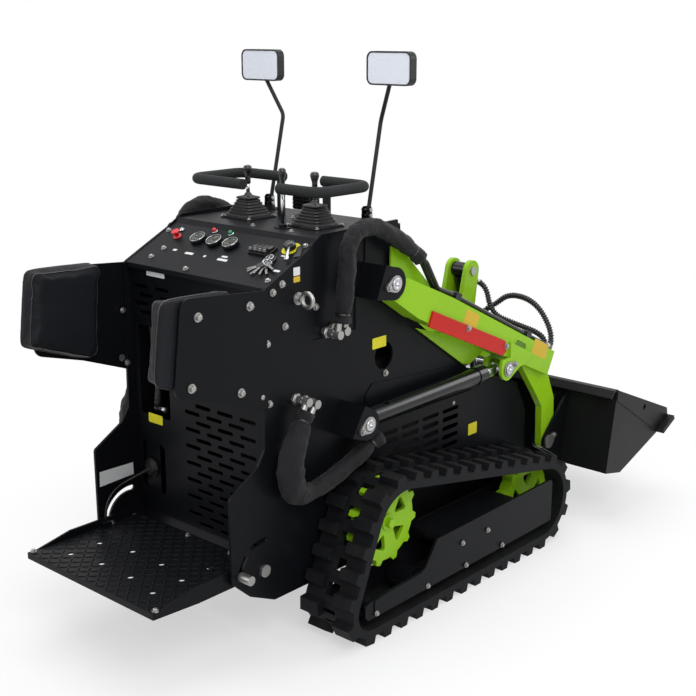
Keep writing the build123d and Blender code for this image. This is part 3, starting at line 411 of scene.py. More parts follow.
@dataclass(frozen=True)
class Metal:
    """Bare, plated or polished metal with fine brushing and light marks."""

    name: str
    colour: Colour
    roughness: float
    marks: float = 0.12
    edge: float = 0.0006

    def make(self) -> Material:
        """Builds the material.

        Returns:
            The material.
        """
        s = Shader.of_material(self.name)
        place = s.place()
        fine, broad = s.cloud(place, 260.0, 4.0), s.cloud(place, 30.0)
        colour = s.mix((fine * self.marks * 3).clamped(), self.colour, shaded(self.colour, 0.6))
        return s.finish(
            Base_Color=colour, Metallic=1.0,
            Roughness=(broad * self.marks + fine * self.marks + self.roughness).clamped(),
            Normal=s.bump(fine, 0.00005, 1.0, self.edge),
        )


@dataclass(frozen=True)
class Moulded:
    """Moulded plastic or rubber with a spark-eroded grain."""

    name: str
    colour: Colour = (0.0065, 0.0067, 0.0078)
    roughness: float = 0.45
    grain: float = 300.0
    depth: float = 0.00012
    edge: float = 0.0008
    shine: float = 0.25

    def make(self) -> Material:
        """Builds the material.

        Returns:
            The material.
        """
        s = Shader.of_material(self.name)
        place = s.place()
        grain, broad = s.cloud(place, self.grain, 3.0), s.cloud(place, 12.0)
        worn = tuple(min(1.0, c * 1.5 + 0.001) for c in self.colour)
        colour = s.mix((broad * 0.6).clamped(), self.colour, worn)
        return s.finish(
            Base_Color=colour, Roughness=(broad * 0.16 + (self.roughness - 0.08)).clamped(),
            Normal=s.bump(grain, self.depth, 1.0, self.edge), Specular_IOR_Level=self.shine,
        )


@dataclass(frozen=True)
class Sheet:
    """Blank sticker or painted plate, a little scuffed."""

    name: str
    colour: Colour
    roughness: float = 0.4

    def make(self) -> Material:
        """Builds the material.

        Returns:
            The material.
        """
        s = Shader.of_material(self.name)
        place = s.place()
        scuff = ((s.cloud(place, 90.0, 6.0) - 0.58) * 3.0).clamped()
        colour = s.mix(scuff, self.colour, shaded(self.colour, 0.7))
        return s.finish(
            Base_Color=colour, Roughness=(scuff * 0.3 + self.roughness).clamped(),
            Normal=s.bump(s.cloud(place, 500.0), 0.00003), Specular_IOR_Level=0.2,
        )


@dataclass(frozen=True)
class StripedHose:
    """Rubber hose with a broken stripe along it, by its UV map."""

    name: str
    stripe: Colour = (0.10, 0.42, 0.03)

    def make(self) -> Material:
        """Builds the material.

        Returns:
            The material.
        """
        s = Shader.of_material(self.name)
        layout, place = s.layout(), s.place()
        band = s.axis(layout, "Y").wave(1.0) > 0.55
        breaks = s.axis(layout, "X").wave(9.0) > -0.35
        colour = s.mix(band * breaks, (0.014, 0.014, 0.015), self.stripe)
        ribs = s.axis(layout, "X").wave(160.0)
        relief = s.bump(ribs + s.cloud(place, 200.0), 0.0002)
        return s.finish(Base_Color=colour, Roughness=0.5, Normal=relief)


def finish_field(kind: type, *values: Any, **named: Any) -> Any:
    """A palette's field that makes its material when the palette is made.

    Args:
        kind: The finish's class.
        *values: Its values in order.
        **named: Its values by name.

    Returns:
        The field.
    """
    return field(default_factory=kind(*values, **named).make)


@dataclass
class Palette:
    """Every finish of the machine, made once."""

    black: Material = finish_field(
        Paint, "black enamel", (0.0052, 0.0057, 0.0072), roughness=0.34, dust=0.16,
        dust_colour=(0.032, 0.031, 0.030), shine=0.085, coat=0.0,
    )
    deck: Material = finish_field(
        Paint, "dash enamel", (0.0048, 0.0053, 0.0068), roughness=0.40, dust=0.08,
        dust_colour=(0.03, 0.03, 0.03), peel=0.0003, shine=0.10, coat=0.0,
    )
    barrel: Material = finish_field(
        Paint, "barrel enamel", (0.0060, 0.0065, 0.0085), roughness=0.20, dust=0.05,
        dust_colour=(0.03, 0.03, 0.03), shine=0.28,
    )
    green: Material = finish_field(
        Paint, "lime enamel", (0.285, 0.555, 0.0125), roughness=0.27, dust=0.03,
        dust_colour=(0.33, 0.50, 0.08), shine=0.13, coat=0.06,
    )
    # A darker copy of the green for the arm slot's floor: painted shade in the recess.
    green_painted_shade: Material = finish_field(
        Paint, "lime enamel in shade", (0.10, 0.21, 0.006), roughness=0.4, dust=0.0, shine=0.2,
        coat=0.0,
    )
    red: Material = finish_field(
        Paint, "strut enamel", (0.54, 0.018, 0.012), roughness=0.30, dust=0.03,
        dust_colour=(0.45, 0.07, 0.05), shine=0.12, coat=0.05,
    )
    scoop: Material = finish_field(
        Paint, "bucket enamel", (0.0080, 0.0083, 0.0090), roughness=0.38, dust=0.26,
        dust_colour=(0.04, 0.039, 0.037), shine=0.13, coat=0.0,
    )
    track: Material = finish_field(TrackRubber, "track rubber")
    hide: Material = finish_field(Hide, "pad hide")
    nylon: Material = finish_field(Weave, "hose sleeve nylon")
    wrap: Material = finish_field(
        Weave, "hose wrap", (0.008, 0.008, 0.0085), along=40.0, around=12.0, sheen=0.03,
    )
    # The wrap's bands are a lighter grey than the hose so the spiral shows: painted highlight.
    wrap_band: Material = finish_field(
        Moulded, "wrap band", (0.020, 0.0205, 0.022), roughness=0.30, grain=200.0, depth=0.00003,
        shine=0.5,
    )
    striped: Material = finish_field(StripedHose, "window hose")
    zinc: Material = finish_field(
        Metal, "zinc plate", (0.40, 0.40, 0.39), roughness=0.24, marks=0.20,
    )
    chrome: Material = finish_field(
        Metal, "chrome", (0.46, 0.47, 0.49), roughness=0.10, marks=0.06,
    )
    key_steel: Material = finish_field(
        Metal, "key steel", (0.24, 0.24, 0.235), roughness=0.30, marks=0.14,
    )
    rod: Material = finish_field(
        Metal, "ground rod", (0.52, 0.53, 0.55), roughness=0.12, marks=0.08,
    )
    casting: Material = finish_field(
        Metal, "engine casting", (0.06, 0.06, 0.06), roughness=0.55, marks=0.2,
    )
    plastic: Material = finish_field(Moulded, "control plastic")
    gloss_plastic: Material = finish_field(
        Moulded, "knob plastic", (0.0065, 0.0065, 0.007), roughness=0.2, grain=120.0, depth=0.00004,
        shine=0.5,
    )
    foam: Material = finish_field(
        Moulded, "grip foam", (0.017, 0.0185, 0.019), roughness=0.72, grain=700.0, depth=0.0003,
        shine=0.15,
    )
    boot: Material = finish_field(
        Moulded, "boot rubber", (0.0050, 0.0052, 0.0060), roughness=0.34, grain=500.0, depth=0.0001,
        shine=0.3,
    )
    # The mirror's glass is a pale blue-white sheet that stands in for the sky it reflects: painted
    # reflection.
    mirror: Material = finish_field(Sheet, "mirror glass", (0.70, 0.73, 0.80), roughness=0.08)
    glass: Material = finish_field(Sheet, "dial window", (0.10, 0.11, 0.10), roughness=0.2)
    dial: Material = finish_field(
        Moulded, "dial face", (0.030, 0.032, 0.033), roughness=0.3, grain=200.0, depth=0.00002,
    )
    ink: Material = finish_field(Sheet, "dial marks", (0.50, 0.51, 0.50))
    white: Material = finish_field(Sheet, "blank white", (0.68, 0.69, 0.69))
    yellow: Material = finish_field(Sheet, "blank yellow", (0.66, 0.60, 0.02))
    orange: Material = finish_field(Sheet, "blank orange", (0.60, 0.405, 0.030))
    red_label: Material = finish_field(Sheet, "blank red", (0.50, 0.02, 0.03))
    red_lens: Material = finish_field(
        Moulded, "red lens", (0.52, 0.008, 0.018), roughness=0.16, grain=90.0, depth=0.00002,
        shine=0.5,
    )
    green_lens: Material = finish_field(
        Moulded, "green lens", (0.005, 0.20, 0.07), roughness=0.16, grain=90.0, depth=0.00002,
        shine=0.5,
    )
    cable_sheath: Material = finish_field(
        Moulded, "cable sheath", (0.0075, 0.0078, 0.0085), roughness=0.3, grain=200.0, depth=0.00005,
    )


# Mesh making


def side_view(a: float, b: float, level: float) -> Vector:
    """Places an outline drawn from the side, at a distance from the middle."""
    return at(a, level, b)


def lying(x: float, y: float) -> Placer:
    """Places outlines flat about a point, with their first number across the machine."""
    return lambda a, b, level: at(x + b, y + a, level)


def standing(y: float, z: float) -> Placer:
    """Places outlines upright across the machine about a point."""
    return lambda a, b, level: at(level, y + a, z + b)


def steady(radius: float) -> Radius:
    """Gives a tube one radius all along."""
    return lambda share, turn: radius


def linked(name: str, data: Any) -> bpy.types.Object:
    """Makes an object of some data and puts it in the scene.

    Args:
        name: The object's name.
        data: Its mesh, curve, camera or lamp.

    Returns:
        The object.
    """
    made = bpy.data.objects.new(name, data)
    bpy.context.scene.collection.objects.link(made)
    return made


def placed(name: str, data: bpy.types.Mesh, body: Body | None) -> bpy.types.Object:
    """Puts a piece in the scene and on its body.

    Args:
        name: The piece's name.
        data: Its mesh.
        body: What it rides on, or None to leave it on no body.

    Returns:
        The piece.
    """
    piece = linked(name, data)
    if body:
        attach(piece, body.value)
    return piece


class Former:
    """Collects shapes in one mesh, in metres, each with the number of its material."""

    def __init__(self, name: str) -> None:
        """Starts an empty mesh.

        Args:
            name: The piece's name.
        """
        self.name = name
        self.mesh = bmesh.new()
        self.chart = self.mesh.loops.layers.uv.new("UVMap")

    def _close(self, before: int, number: int) -> None:
        """Gives the faces added since then a material number.

        Args:
            before: How many faces there were.
            number: The material's number.
        """
        self.mesh.faces.ensure_lookup_table()
        for face in self.mesh.faces[before:]:
            face.material_index = number

    def rings(self, loops: Sequence[Sequence[Vector]], number: int = 0, caps: bool = True,
              smooth: bool = True) -> None:
        """Joins closed rings of points in order.

        Args:
            loops: The rings, each with as many points.
            number: The material's number.
            caps: Whether the two ends are closed.
            smooth: Whether the walls are shaded smooth.
        """
        before = len(self.mesh.faces)
        rows = [[self.mesh.verts.new(p) for p in loop] for loop in loops]
        count = len(rows[0])
        last = max(len(rows) - 1, 1)
        for row in range(len(rows) - 1):
            for i in range(count):
                j = (i + 1) % count
                low, high = rows[row], rows[row + 1]
                face = self.mesh.faces.new((low[i], low[j], high[j], high[i]))
                face.smooth = smooth
                corners = ((row, i), (row, i + 1), (row + 1, i + 1), (row + 1, i))
                for loop, (u, v) in zip(face.loops, corners):
                    loop[self.chart].uv = (u / last, v / count)
        if caps:
            self.mesh.faces.new(rows[0][::-1])
            self.mesh.faces.new(rows[-1])
        self._close(before, number)

    def lathe(self, base: Vector, direction: Vector, profile: Sequence[Pair],
              number: int = 0, count: int = 32, smooth: bool = True) -> None:
        """Turns a profile of (radius, height) in millimetres about a line.

        Args:
            base: Where the line starts.
            direction: Its direction.
            profile: Radii and heights, from the bottom up.
            number: The material's number.
            count: Points round.
            smooth: Whether it is shaded smooth.
        """
        turn = direction.normalized().to_track_quat("Z", "Y")
        loops = []
        for radius, height in profile:
            loop = []
            for i in range(count):
                a = 2 * math.pi * i / count
                spot = Vector((radius * math.cos(a), radius * math.sin(a), height)) / 1000
                loop.append(base + turn @ spot)
            loops.append(loop)
        self.rings(loops, number, True, smooth)

    def prism(self, outline: Sequence[Pair], place: Placer,
              low: float, high: float, number: int = 0) -> None:
        """Stands an outline between two levels.

        Args:
            outline: Corners in two numbers.
            place: Turns the two numbers and a level into a point.
            low: The first level.
            high: The last level.
            number: The material's number.
        """
        loops = [[place(a, b, level) for a, b in outline] for level in (low, high)]
        self.rings(loops, number, True, False)

    def block(self, low: Place, high: Place, number: int = 0) -> None:
        """A box between two places in millimetres."""
        corners = [(low[0], low[1]), (high[0], low[1]), (high[0], high[1]), (low[0], high[1])]
        self.prism(corners, at, low[2], high[2], number)

    def ring(self, centre: Vector, normal: Vector, radius: float, thickness: float,
             number: int = 0) -> None:
        """A closed ring of round section.

        Args:
            centre: Its middle.
            normal: Its axis.
            radius: Its radius in millimetres.
            thickness: The section's radius.
            number: The material's number.
        """
        turn = normal.normalized().to_track_quat("Z", "Y")
        before = len(self.mesh.faces)
        around, across = 36, 10
        rows = []
        for i in range(around):
            a = 2 * math.pi * i / around
            row = []
            for j in range(across):
                b = 2 * math.pi * j / across
                out = radius + thickness * math.cos(b)
                spot = Vector((out * math.cos(a), out * math.sin(a), thickness * math.sin(b))) / 1000
                row.append(self.mesh.verts.new(centre + turn @ spot))
            rows.append(row)
        for i in range(around):
            for j in range(across):
                k, m = (i + 1) % around, (j + 1) % across
                face = self.mesh.faces.new((rows[i][j], rows[k][j], rows[k][m], rows[i][m]))
                face.smooth = True
        self._close(before, number)

    def tube(self, path: Sequence[Vector], radius: Radius, number: int = 0,
             count: int = 20) -> None:
        """Runs a tube along points.

        Args:
            path: Points along its middle.
            radius: Gives the radius in millimetres from the share of the length and of the turn.
            number: The material's number.
            count: Points round.
        """
        loops = []
        tangent = (path[1] - path[0]).normalized()
        side = tangent.cross(Vector((0.0, 0.0, 1.0)))
        if side.length < 0.1:
            side = tangent.cross(Vector((0.0, 1.0, 0.0)))
        side.normalize()
        for i, spot in enumerate(path):
            ahead = path[min(i + 1, len(path) - 1)] - path[max(i - 1, 0)]
            tangent = ahead.normalized()
            side = (side - tangent * side.dot(tangent)).normalized()
            other = tangent.cross(side)
            share = i / (len(path) - 1)
            loop = []
            for j in range(count):
                a = 2 * math.pi * j / count
                reach = radius(share, j / count) / 1000
                loop.append(spot + (side * math.cos(a) + other * math.sin(a)) * reach)
            loops.append(loop)
        self.rings(loops, number, True, True)

    def data(self) -> bpy.types.Mesh:
        """Ends the mesh, with its faces turned outwards.

        Returns:
            The mesh.
        """
        bmesh.ops.recalc_face_normals(self.mesh, faces=self.mesh.faces)
        data = bpy.data.meshes.new(self.name)
        self.mesh.to_mesh(data)
        self.mesh.free()
        return data

    def piece(self, body: Body | None, slot: str, *materials: Material,
              bevel: float = 0.0) -> bpy.types.Object:
        """Ends the mesh and puts the piece on its body.

        Args:
            body: What it rides on, or None to leave it on no body.
            slot: The record's material slot; not used.
            *materials: Its materials, by number.
            bevel: Width of rounded edges in millimetres, or nought.

        Returns:
            The piece.
        """
        data = self.data()
        for material in materials:
            data.materials.append(material)
        piece = placed(self.name, data, body)
        if bevel:
            rounded = piece.modifiers.new("rounded edges", "BEVEL")
            rounded.width = bevel / 1000
            rounded.segments = 2
            rounded.limit_method = "ANGLE"
            rounded.harden_normals = False
        log.info("%s: %d faces", self.name, len(data.polygons))
        return piece


def settled(holder: bpy.types.Object, name: str) -> bpy.types.Mesh:
    """Turns an object's evaluated shape into a plain mesh and removes the object.

    Args:
        holder: The object.
        name: The mesh's name.

    Returns:
        The mesh.
    """
    graph = bpy.context.evaluated_depsgraph_get()
    graph.update()
    mesh = bpy.data.meshes.new_from_object(holder.evaluated_get(graph), depsgraph=graph)
    mesh.name = name
    bpy.data.objects.remove(holder)
    return mesh


def smooth_route(points: Sequence[Place], order: int = 3, density: int = 14) -> list[Vector]:
    """Samples a smooth spline with these control points.

    Args:
        points: Places in millimetres on the machine.
        order: The spline's order.
        density: Samples for each control point.

    Returns:
        Points along the spline, in metres.
    """
    curve = bpy.data.curves.new("route", "CURVE")
    curve.dimensions = "3D"
    curve.resolution_u = density
    spline = curve.splines.new("NURBS")
    spline.points.add(len(points) - 1)
    for point, (x, y, z) in zip(spline.points, points):
        point.co = (*at(x, y, z), 1.0)
    spline.order_u = order
    spline.use_endpoint_u = True
    mesh = settled(linked("route", curve), "route")
    return [v.co.copy() for v in mesh.vertices]


class Pattern:
    """A geometry-node tree that puts copies of a small shape on the points of a mesh."""

    def __init__(self, name: str, sizes: dict[str, float]) -> None:
        """Starts the tree.

        Args:
            name: The tree's name.
            sizes: Named inputs and their values in metres.
        """
        self.name = name
        self.sizes = sizes
        self.tree = bpy.data.node_groups.new(name, "GeometryNodeTree")
        face = self.tree.interface
        face.new_socket("Points", in_out="INPUT", socket_type="NodeSocketGeometry")
        for size in sizes:
            face.new_socket(size, in_out="INPUT", socket_type="NodeSocketFloat")
        face.new_socket("Finish", in_out="INPUT", socket_type="NodeSocketMaterial")
        face.new_socket("Result", in_out="OUTPUT", socket_type="NodeSocketGeometry")
        self.entry = self.tree.nodes.new("NodeGroupInput")
        self.exit = self.tree.nodes.new("NodeGroupOutput")

    def node(self, kind: str, settings: dict[str, Any], values: dict[Any, Any]) -> bpy.types.Node:
        """Adds a node with its settings, then its sockets' values or links.

        Args:
            kind: The node's type.
            settings: Its settings.
            values: Values, links or lists of links, by name or index.

        Returns:
            The node.
        """
        made = self.tree.nodes.new(kind)
        for key, value in settings.items():
            setattr(made, key, value)
        for key, value in values.items():
            for item in value if isinstance(value, list) else [value]:
                if isinstance(item, Socket):
                    self.tree.links.new(item, made.inputs[key])
                else:
                    made.inputs[key].default_value = item
        return made

    def size(self, name: str) -> Socket:
        """The socket of a named input."""
        return self.entry.outputs[name]

    def scaled(self, name: str, factor: float) -> Socket:
        """A named input times a number."""
        made = self.node("ShaderNodeMath", {"operation": "MULTIPLY"}, {0: self.size(name), 1: factor})
        return made.outputs[0]

    def moved(self, shape: bpy.types.Node, **values: Any) -> bpy.types.Node:
        """Moves, turns or scales a shape."""
        return self.node("GeometryNodeTransform", {}, {"Geometry": shape.outputs[0], **values})

    def attribute(self, name: str, kind: str) -> Socket:
        """A named attribute of the points."""
        made = self.node("GeometryNodeInputNamedAttribute", {"data_type": kind}, {"Name": name})
        return made.outputs[0]

    def spread(self, shape: Socket) -> None:
        """Puts the shape on the points, turned to their "out" and "twist", and ends the tree.

        Args:
            shape: The shape that is copied.
        """
        out = self.attribute("out", "FLOAT_VECTOR")
        turn = self.node("FunctionNodeAlignRotationToVector", {"axis": "Z"}, {"Vector": out})
        twist = {"Axis": (0.0, 0.0, 1.0), "Angle": self.attribute("twist", "FLOAT")}
        spin = self.node("FunctionNodeAxisAngleToRotation", {}, twist)
        both = self.node(
            "FunctionNodeRotateRotation", {"rotation_space": "LOCAL"},
            {"Rotation": turn.outputs[0], "Rotate By": spin.outputs[0]},
        )
        copies = self.node("GeometryNodeInstanceOnPoints", {}, {
            "Points": self.size("Points"), "Instance": shape, "Rotation": both.outputs[0],
            "Scale": self.attribute("grown", "FLOAT"),
        })
        real = self.node("GeometryNodeRealizeInstances", {}, {"Geometry": copies.outputs[0]})
        finish = {"Geometry": real.outputs[0], "Material": self.size("Finish")}
        dressed = self.node("GeometryNodeSetMaterial", {}, finish)
        self.tree.links.new(dressed.outputs[0], self.exit.inputs[0])

    def run(self, spots: Sequence[Spot], finish: Material) -> bpy.types.Mesh:
        """Runs the tree.

        Args:
            spots: Each copy's place, direction, twist in radians and growth.
            finish: The material of all copies.

        Returns:
            A plain mesh of all copies.
        """
        data = bpy.data.meshes.new(self.name)
        data.from_pydata([spot[0] for spot in spots], [], [])
        for key, kind in (("out", "FLOAT_VECTOR"), ("twist", "FLOAT"), ("grown", "FLOAT")):
            data.attributes.new(key, kind, "POINT")
        data.attributes["out"].data.foreach_set("vector", [part for spot in spots for part in spot[1]])
        data.attributes["twist"].data.foreach_set("value", [spot[2] for spot in spots])
        data.attributes["grown"].data.foreach_set("value", [spot[3] for spot in spots])
        holder = linked(self.name, data)
        modifier = holder.modifiers.new(self.name, "NODES")
        modifier.node_group = self.tree
        for item in self.tree.interface.items_tree:
            if item.in_out == "INPUT" and item.name in self.sizes:
                modifier[item.identifier] = self.sizes[item.name]
            elif item.in_out == "INPUT" and item.name == "Finish":
                modifier[item.identifier] = finish
        return settled(holder, self.name)


def hex_bolts() -> Pattern:
    """Flanged hexagon heads with a shallow dish in the top.

    Returns:
        The tree.
    """
    p = Pattern("hex bolts", {"Flange": 0.0100, "Head": 0.0072, "Height": 0.0064})
    sizes = {"Vertices": 24, "Radius": p.size("Flange"), "Depth": p.scaled("Height", 0.5)}
    flange = p.moved(p.node("GeometryNodeMeshCylinder", {}, sizes), Translation=(0.0, 0.0, 0.0006))
    sizes = {"Vertices": 6, "Radius": p.size("Head"), "Depth": p.size("Height")}
    head = p.moved(p.node("GeometryNodeMeshCylinder", {}, sizes), Translation=(0.0, 0.0, 0.0048))
    sizes = {
        "Vertices": 20, "Radius Top": p.scaled("Head", 0.45), "Radius Bottom": p.scaled("Head", 0.84),
        "Depth": p.scaled("Height", 0.14),
    }
    lid = p.moved(p.node("GeometryNodeMeshCone", {}, sizes), Translation=(0.0, 0.0, 0.0080))
    shapes = [shape.outputs[0] for shape in (flange, head, lid)]
    p.spread(p.node("GeometryNodeJoinGeometry", {}, {0: shapes}).outputs[0])
    return p


def long_balls(name: str, sizes: dict[str, float], axes: Sequence[str], segments: int) -> Pattern:
    """Balls stretched along each axis by a named size.

    Args:
        name: The tree's name.
        sizes: Named sizes in metres.
        axes: The size along each axis.
        segments: Points round a ball.

    Returns:
        The tree.
    """
    p = Pattern(name, sizes)
    ball = p.node("GeometryNodeMeshUVSphere", {}, {"Segments": segments, "Rings": 5, "Radius": 1.0})
    scale = p.node("ShaderNodeCombineXYZ", {}, {i: p.size(axis) for i, axis in enumerate(axes)})
    p.spread(p.moved(ball, Scale=scale.outputs[0]).outputs[0])
    return p


def tread_bars() -> Pattern:
    """The raised bars of chequer plate, pointed at both ends."""
    sizes = {"Half length": 0.0135, "Half width": 0.0030, "Rise": 0.0022}
    return long_balls("tread bars", sizes, ("Half length", "Half width", "Rise"), 8)


def stitches() -> Pattern:
    """Short thread stitches that lie along a seam."""
    sizes = {"Thread": 0.0006, "Half stitch": 0.0022}
    return long_balls("stitches", sizes, ("Thread", "Thread", "Half stitch"), 6)


def wrap_turns() -> Pattern:
    """Flat bands that wind round a hose.

    Returns:
        The tree.
    """
    p = Pattern("wrap turns", {"Radius": 0.0088, "Band": 0.0026})
    circle = "GeometryNodeCurvePrimitiveCircle"
    line = p.node(circle, {}, {"Resolution": 14, "Radius": p.size("Radius")})
    band = p.node(circle, {}, {"Resolution": 6, "Radius": p.size("Band")})
    curves = {"Curve": line.outputs[0], "Profile Curve": band.outputs[0]}
    turn = p.node("GeometryNodeCurveToMesh", {}, curves)
    p.spread(p.moved(turn, Rotation=(0.42, 0.0, 0.0)).outputs[0])
    return p


def patterned(pattern: Pattern, name: str, body: Body | None, finish: Material,
              spots: Sequence[Spot]) -> bpy.types.Object:
    """Runs a pattern and puts its copies on a body.

    Args:
        pattern: The tree.
        name: The piece's name.
        body: What it rides on, or None to leave it on no body.
        finish: The copies' material.
        spots: Place, direction, twist and growth of each copy.

    Returns:
        The piece.
    """
    mesh = pattern.run(spots, finish)
    mesh.name = name
    piece = placed(name, mesh, body)
    log.info("%s: %d copies", name, len(spots))
    return piece


# Sub-assemblies


@dataclass
class PlainSteel:
    """The solids that keep their shape and get a better finish."""

    palette: Palette

    def dress(self) -> None:
        """Gives every carried-over solid its finish."""
        p = self.palette
        finishes = {
            p.black: (
                "chassis", "side_plate_right", "side_plate_left", "pad_plates", "rear_panel", "hood",
                "side_grilles", "arm_towers", "cylinder_brackets", "track_frame_right",
                "track_frame_left", "drive_motors", "track_rollers", "platform", "coupler",
            ),
            p.deck: ("control_console",),
            p.barrel: ("lift_barrel_right", "lift_barrel_left", "tilt_barrel", "arm_tubes"),
            p.green: ("lift_arms", "drive_sprockets", "front_idlers"),
            p.red: ("lock_strut",),
            p.scoop: ("bucket",),
            p.track: ("track_right", "track_left"),
            p.zinc: (
                "body_pins", "arm_pins", "bucket_pins", "platform_bolts", "platform_latch",
                "hose_fittings", "lifting_eyes",
            ),
            p.rod: ("lift_rod_right", "lift_rod_left", "tilt_rod"),
            p.casting: ("engine_block",),
            p.plastic: ("work_light", "mirrors"),
            p.foam: ("grab_bars",),
        }
        for material, names in finishes.items():
            for name in names:
                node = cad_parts[name]
                for place in node.material_slots:
                    place.material = material
        log.info("finishes: %d solids", sum(len(names) for names in finishes.values()))


@dataclass
class ThighPads:
    """Two upholstered pads, each swollen by simulation, with a piped seam and stitches."""

    palette: Palette
    stitch: Pattern
    outline: tuple[Pair, ...] = (
        (-300, 1026), (-532, 1036), (-560, 826), (-354, 752), (-322, 764),
    )
    corner: float = 26.0
    inner: float = 237.0
    outer: float = 286.0
    tight: float = 5.0
    cell: float = 0.006
    swell: float = 0.007
    pressure: float = 4.0
    stiffness: float = 30
    frames: int = 20
    stitch_step: float = 6

    def rounded(self, inset: float) -> list[Pair]:
        """The pad's outline with round corners, moved in.

        Args:
            inset: How far in, in millimetres.

        Returns:
            Corners in order.
        """
        result = []
        count = len(self.outline)
        for i in range(count):
            corner = Vector(self.outline[i])
            back = (Vector(self.outline[i - 1]) - corner).normalized()
            ahead = (Vector(self.outline[(i + 1) % count]) - corner).normalized()
            half = back.angle(ahead) / 2
            centre = corner + (back + ahead).normalized() * (self.corner / math.sin(half))
            radius = self.corner - inset
            first = math.atan2(*reversed((corner + back * self.corner / math.tan(half) - centre)[:]))
            last = math.atan2(*reversed((corner + ahead * self.corner / math.tan(half) - centre)[:]))
            sweep = (last - first + math.pi) % (2 * math.pi) - math.pi
            for step in range(7):
                a = first + sweep * step / 6
                result.append((centre.x + radius * math.cos(a), centre.y + radius * math.sin(a)))
        return result

    def blank(self) -> bpy.types.Object:
        """The right pad before it swells, as an even mesh of small quads.

        Returns:
            The pad.
        """
        former = Former("pad blank")
        low, high = self.inner + self.tight, self.outer - 1
        former.prism(self.rounded(self.tight), lambda a, b, c: at(a, -c, b), low, high)
        blank = linked("pad blank", former.data())
        cells = blank.modifiers.new("cells", "REMESH")
        cells.mode = "VOXEL"
        cells.voxel_size = self.cell
        return linked("pad cells", settled(blank, "pad cells"))

    def swollen(self) -> bpy.types.Mesh:
        """Simulates the cover under pressure and caps how far it moves.

        Returns:
            The cover.
        """
        blank = self.blank()
        start = [v.co.copy() for v in blank.data.vertices]
        held = blank.vertex_groups.new(name="held")
        back = -(self.outer - 8) / 1000
        held.add([i for i, co in enumerate(start) if co.y < back], 1.0, "REPLACE")
        cloth = blank.modifiers.new("cover", "CLOTH")
        cloth.settings.vertex_group_mass = "held"
        cloth.settings.use_pressure = True
        cloth.settings.uniform_pressure_force = self.pressure
        cloth.settings.quality = 4
        cloth.settings.effector_weights.gravity = 0.0
        cloth.settings.tension_stiffness = self.stiffness
        cloth.settings.compression_stiffness = self.stiffness
        scene = bpy.context.scene
        for number in range(1, self.frames + 1):
            scene.frame_set(number)
        graph = bpy.context.evaluated_depsgraph_get()
        moved = [v.co.copy() for v in blank.evaluated_get(graph).data.vertices]
        scene.frame_set(1)
        blank.modifiers.clear()
        for vertex, before, after in zip(blank.data.vertices, start, moved):
            step = after - before
            if step.length > self.swell:
                step = step.normalized() * self.swell
            vertex.co = before + step
        finer = blank.modifiers.new("finer", "SUBSURF")
        finer.levels = finer.render_levels = 1
        return settled(blank, "pad cover")

    def seams(self, tree: BVHTree, middle: Vector) -> tuple[list[Vector], list[Vector]]:
        """Finds the two seams on the cover.

        Args:
            tree: The cover's faces.
            middle: The middle of the pad's outline.

        Returns:
            Points on the seam of the face and on the seam of the back.
        """
        front, back = [], []
        levels = ((front, self.inner + 1, 5.0), (back, self.outer - 9, -2.0))
        loop = [Vector(pair) for pair in self.rounded(1.0)]
        for i, corner in enumerate(loop):
            following = loop[(i + 1) % len(loop)]
            steps = max(1, round((following - corner).length / self.stitch_step))
            for k in range(steps):
                spot = corner.lerp(following, k / steps)
                inward = (middle - spot).normalized()
                for holder, level, inset in levels:
                    aim = at(spot.x + inward.x * inset, -level, spot.y + inward.y * inset)
                    holder.append(tree.find_nearest(aim)[0])
        return front, back

    def build(self) -> None:
        """Makes both pads, their piping and their stitches."""
        cover = self.swollen()
        faces = [p.vertices[:] for p in cover.polygons]
        tree = BVHTree.FromPolygons([v.co for v in cover.vertices], faces)
        loop = self.rounded(1.0)
        middle = Vector((sum(a for a, _ in loop) / len(loop), sum(b for _, b in loop) / len(loop)))
        seam_front, seam_back = self.seams(tree, middle)
        centre = at(middle.x, -self.inner, middle.y)
        for side in Side:
            flip = Matrix.Diagonal((1, -side.value, 1, 1))
            mesh = cover.copy()
            mesh.transform(flip)
            if side is Side.LEFT:
                mesh.flip_normals()
            mesh.polygons.foreach_set("use_smooth", [True] * len(mesh.polygons))
            mesh.materials.clear()
            mesh.materials.append(self.palette.hide)
            pad = linked(f"thigh_pad_{side.word}_cover", mesh)
            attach(pad, Body.MACHINE.value)
            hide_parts(f"thigh_pad_{side.word}")
            log.info("thigh pad %s: %d faces", side.word, len(mesh.polygons))
            piping = Former(f"thigh_pad_{side.word}_piping")
            for seam in (seam_front, seam_back):
                path = [flip @ p for p in seam]
                piping.tube(path + path[:2], steady(2.0), 0, 8)
            piping.piece(Body.MACHINE, "vinyl", self.palette.gloss_plastic)
            spots = []
            for i, point in enumerate(seam_front):
                following = seam_front[(i + 1) % len(seam_front)]
                inward = (centre - point).normalized() * 0.007
                aim = tree.find_nearest(point.lerp(following, 0.5) + inward)[0]
                along = flip @ (following - point).normalized()
                spots.append((flip @ (aim + Vector((0, 0.0003, 0))), along, 0.0, 1.0))
            name = f"thigh_pad_{side.word}_stitches"
            patterned(self.stitch, name, Body.MACHINE, self.palette.plastic, spots)


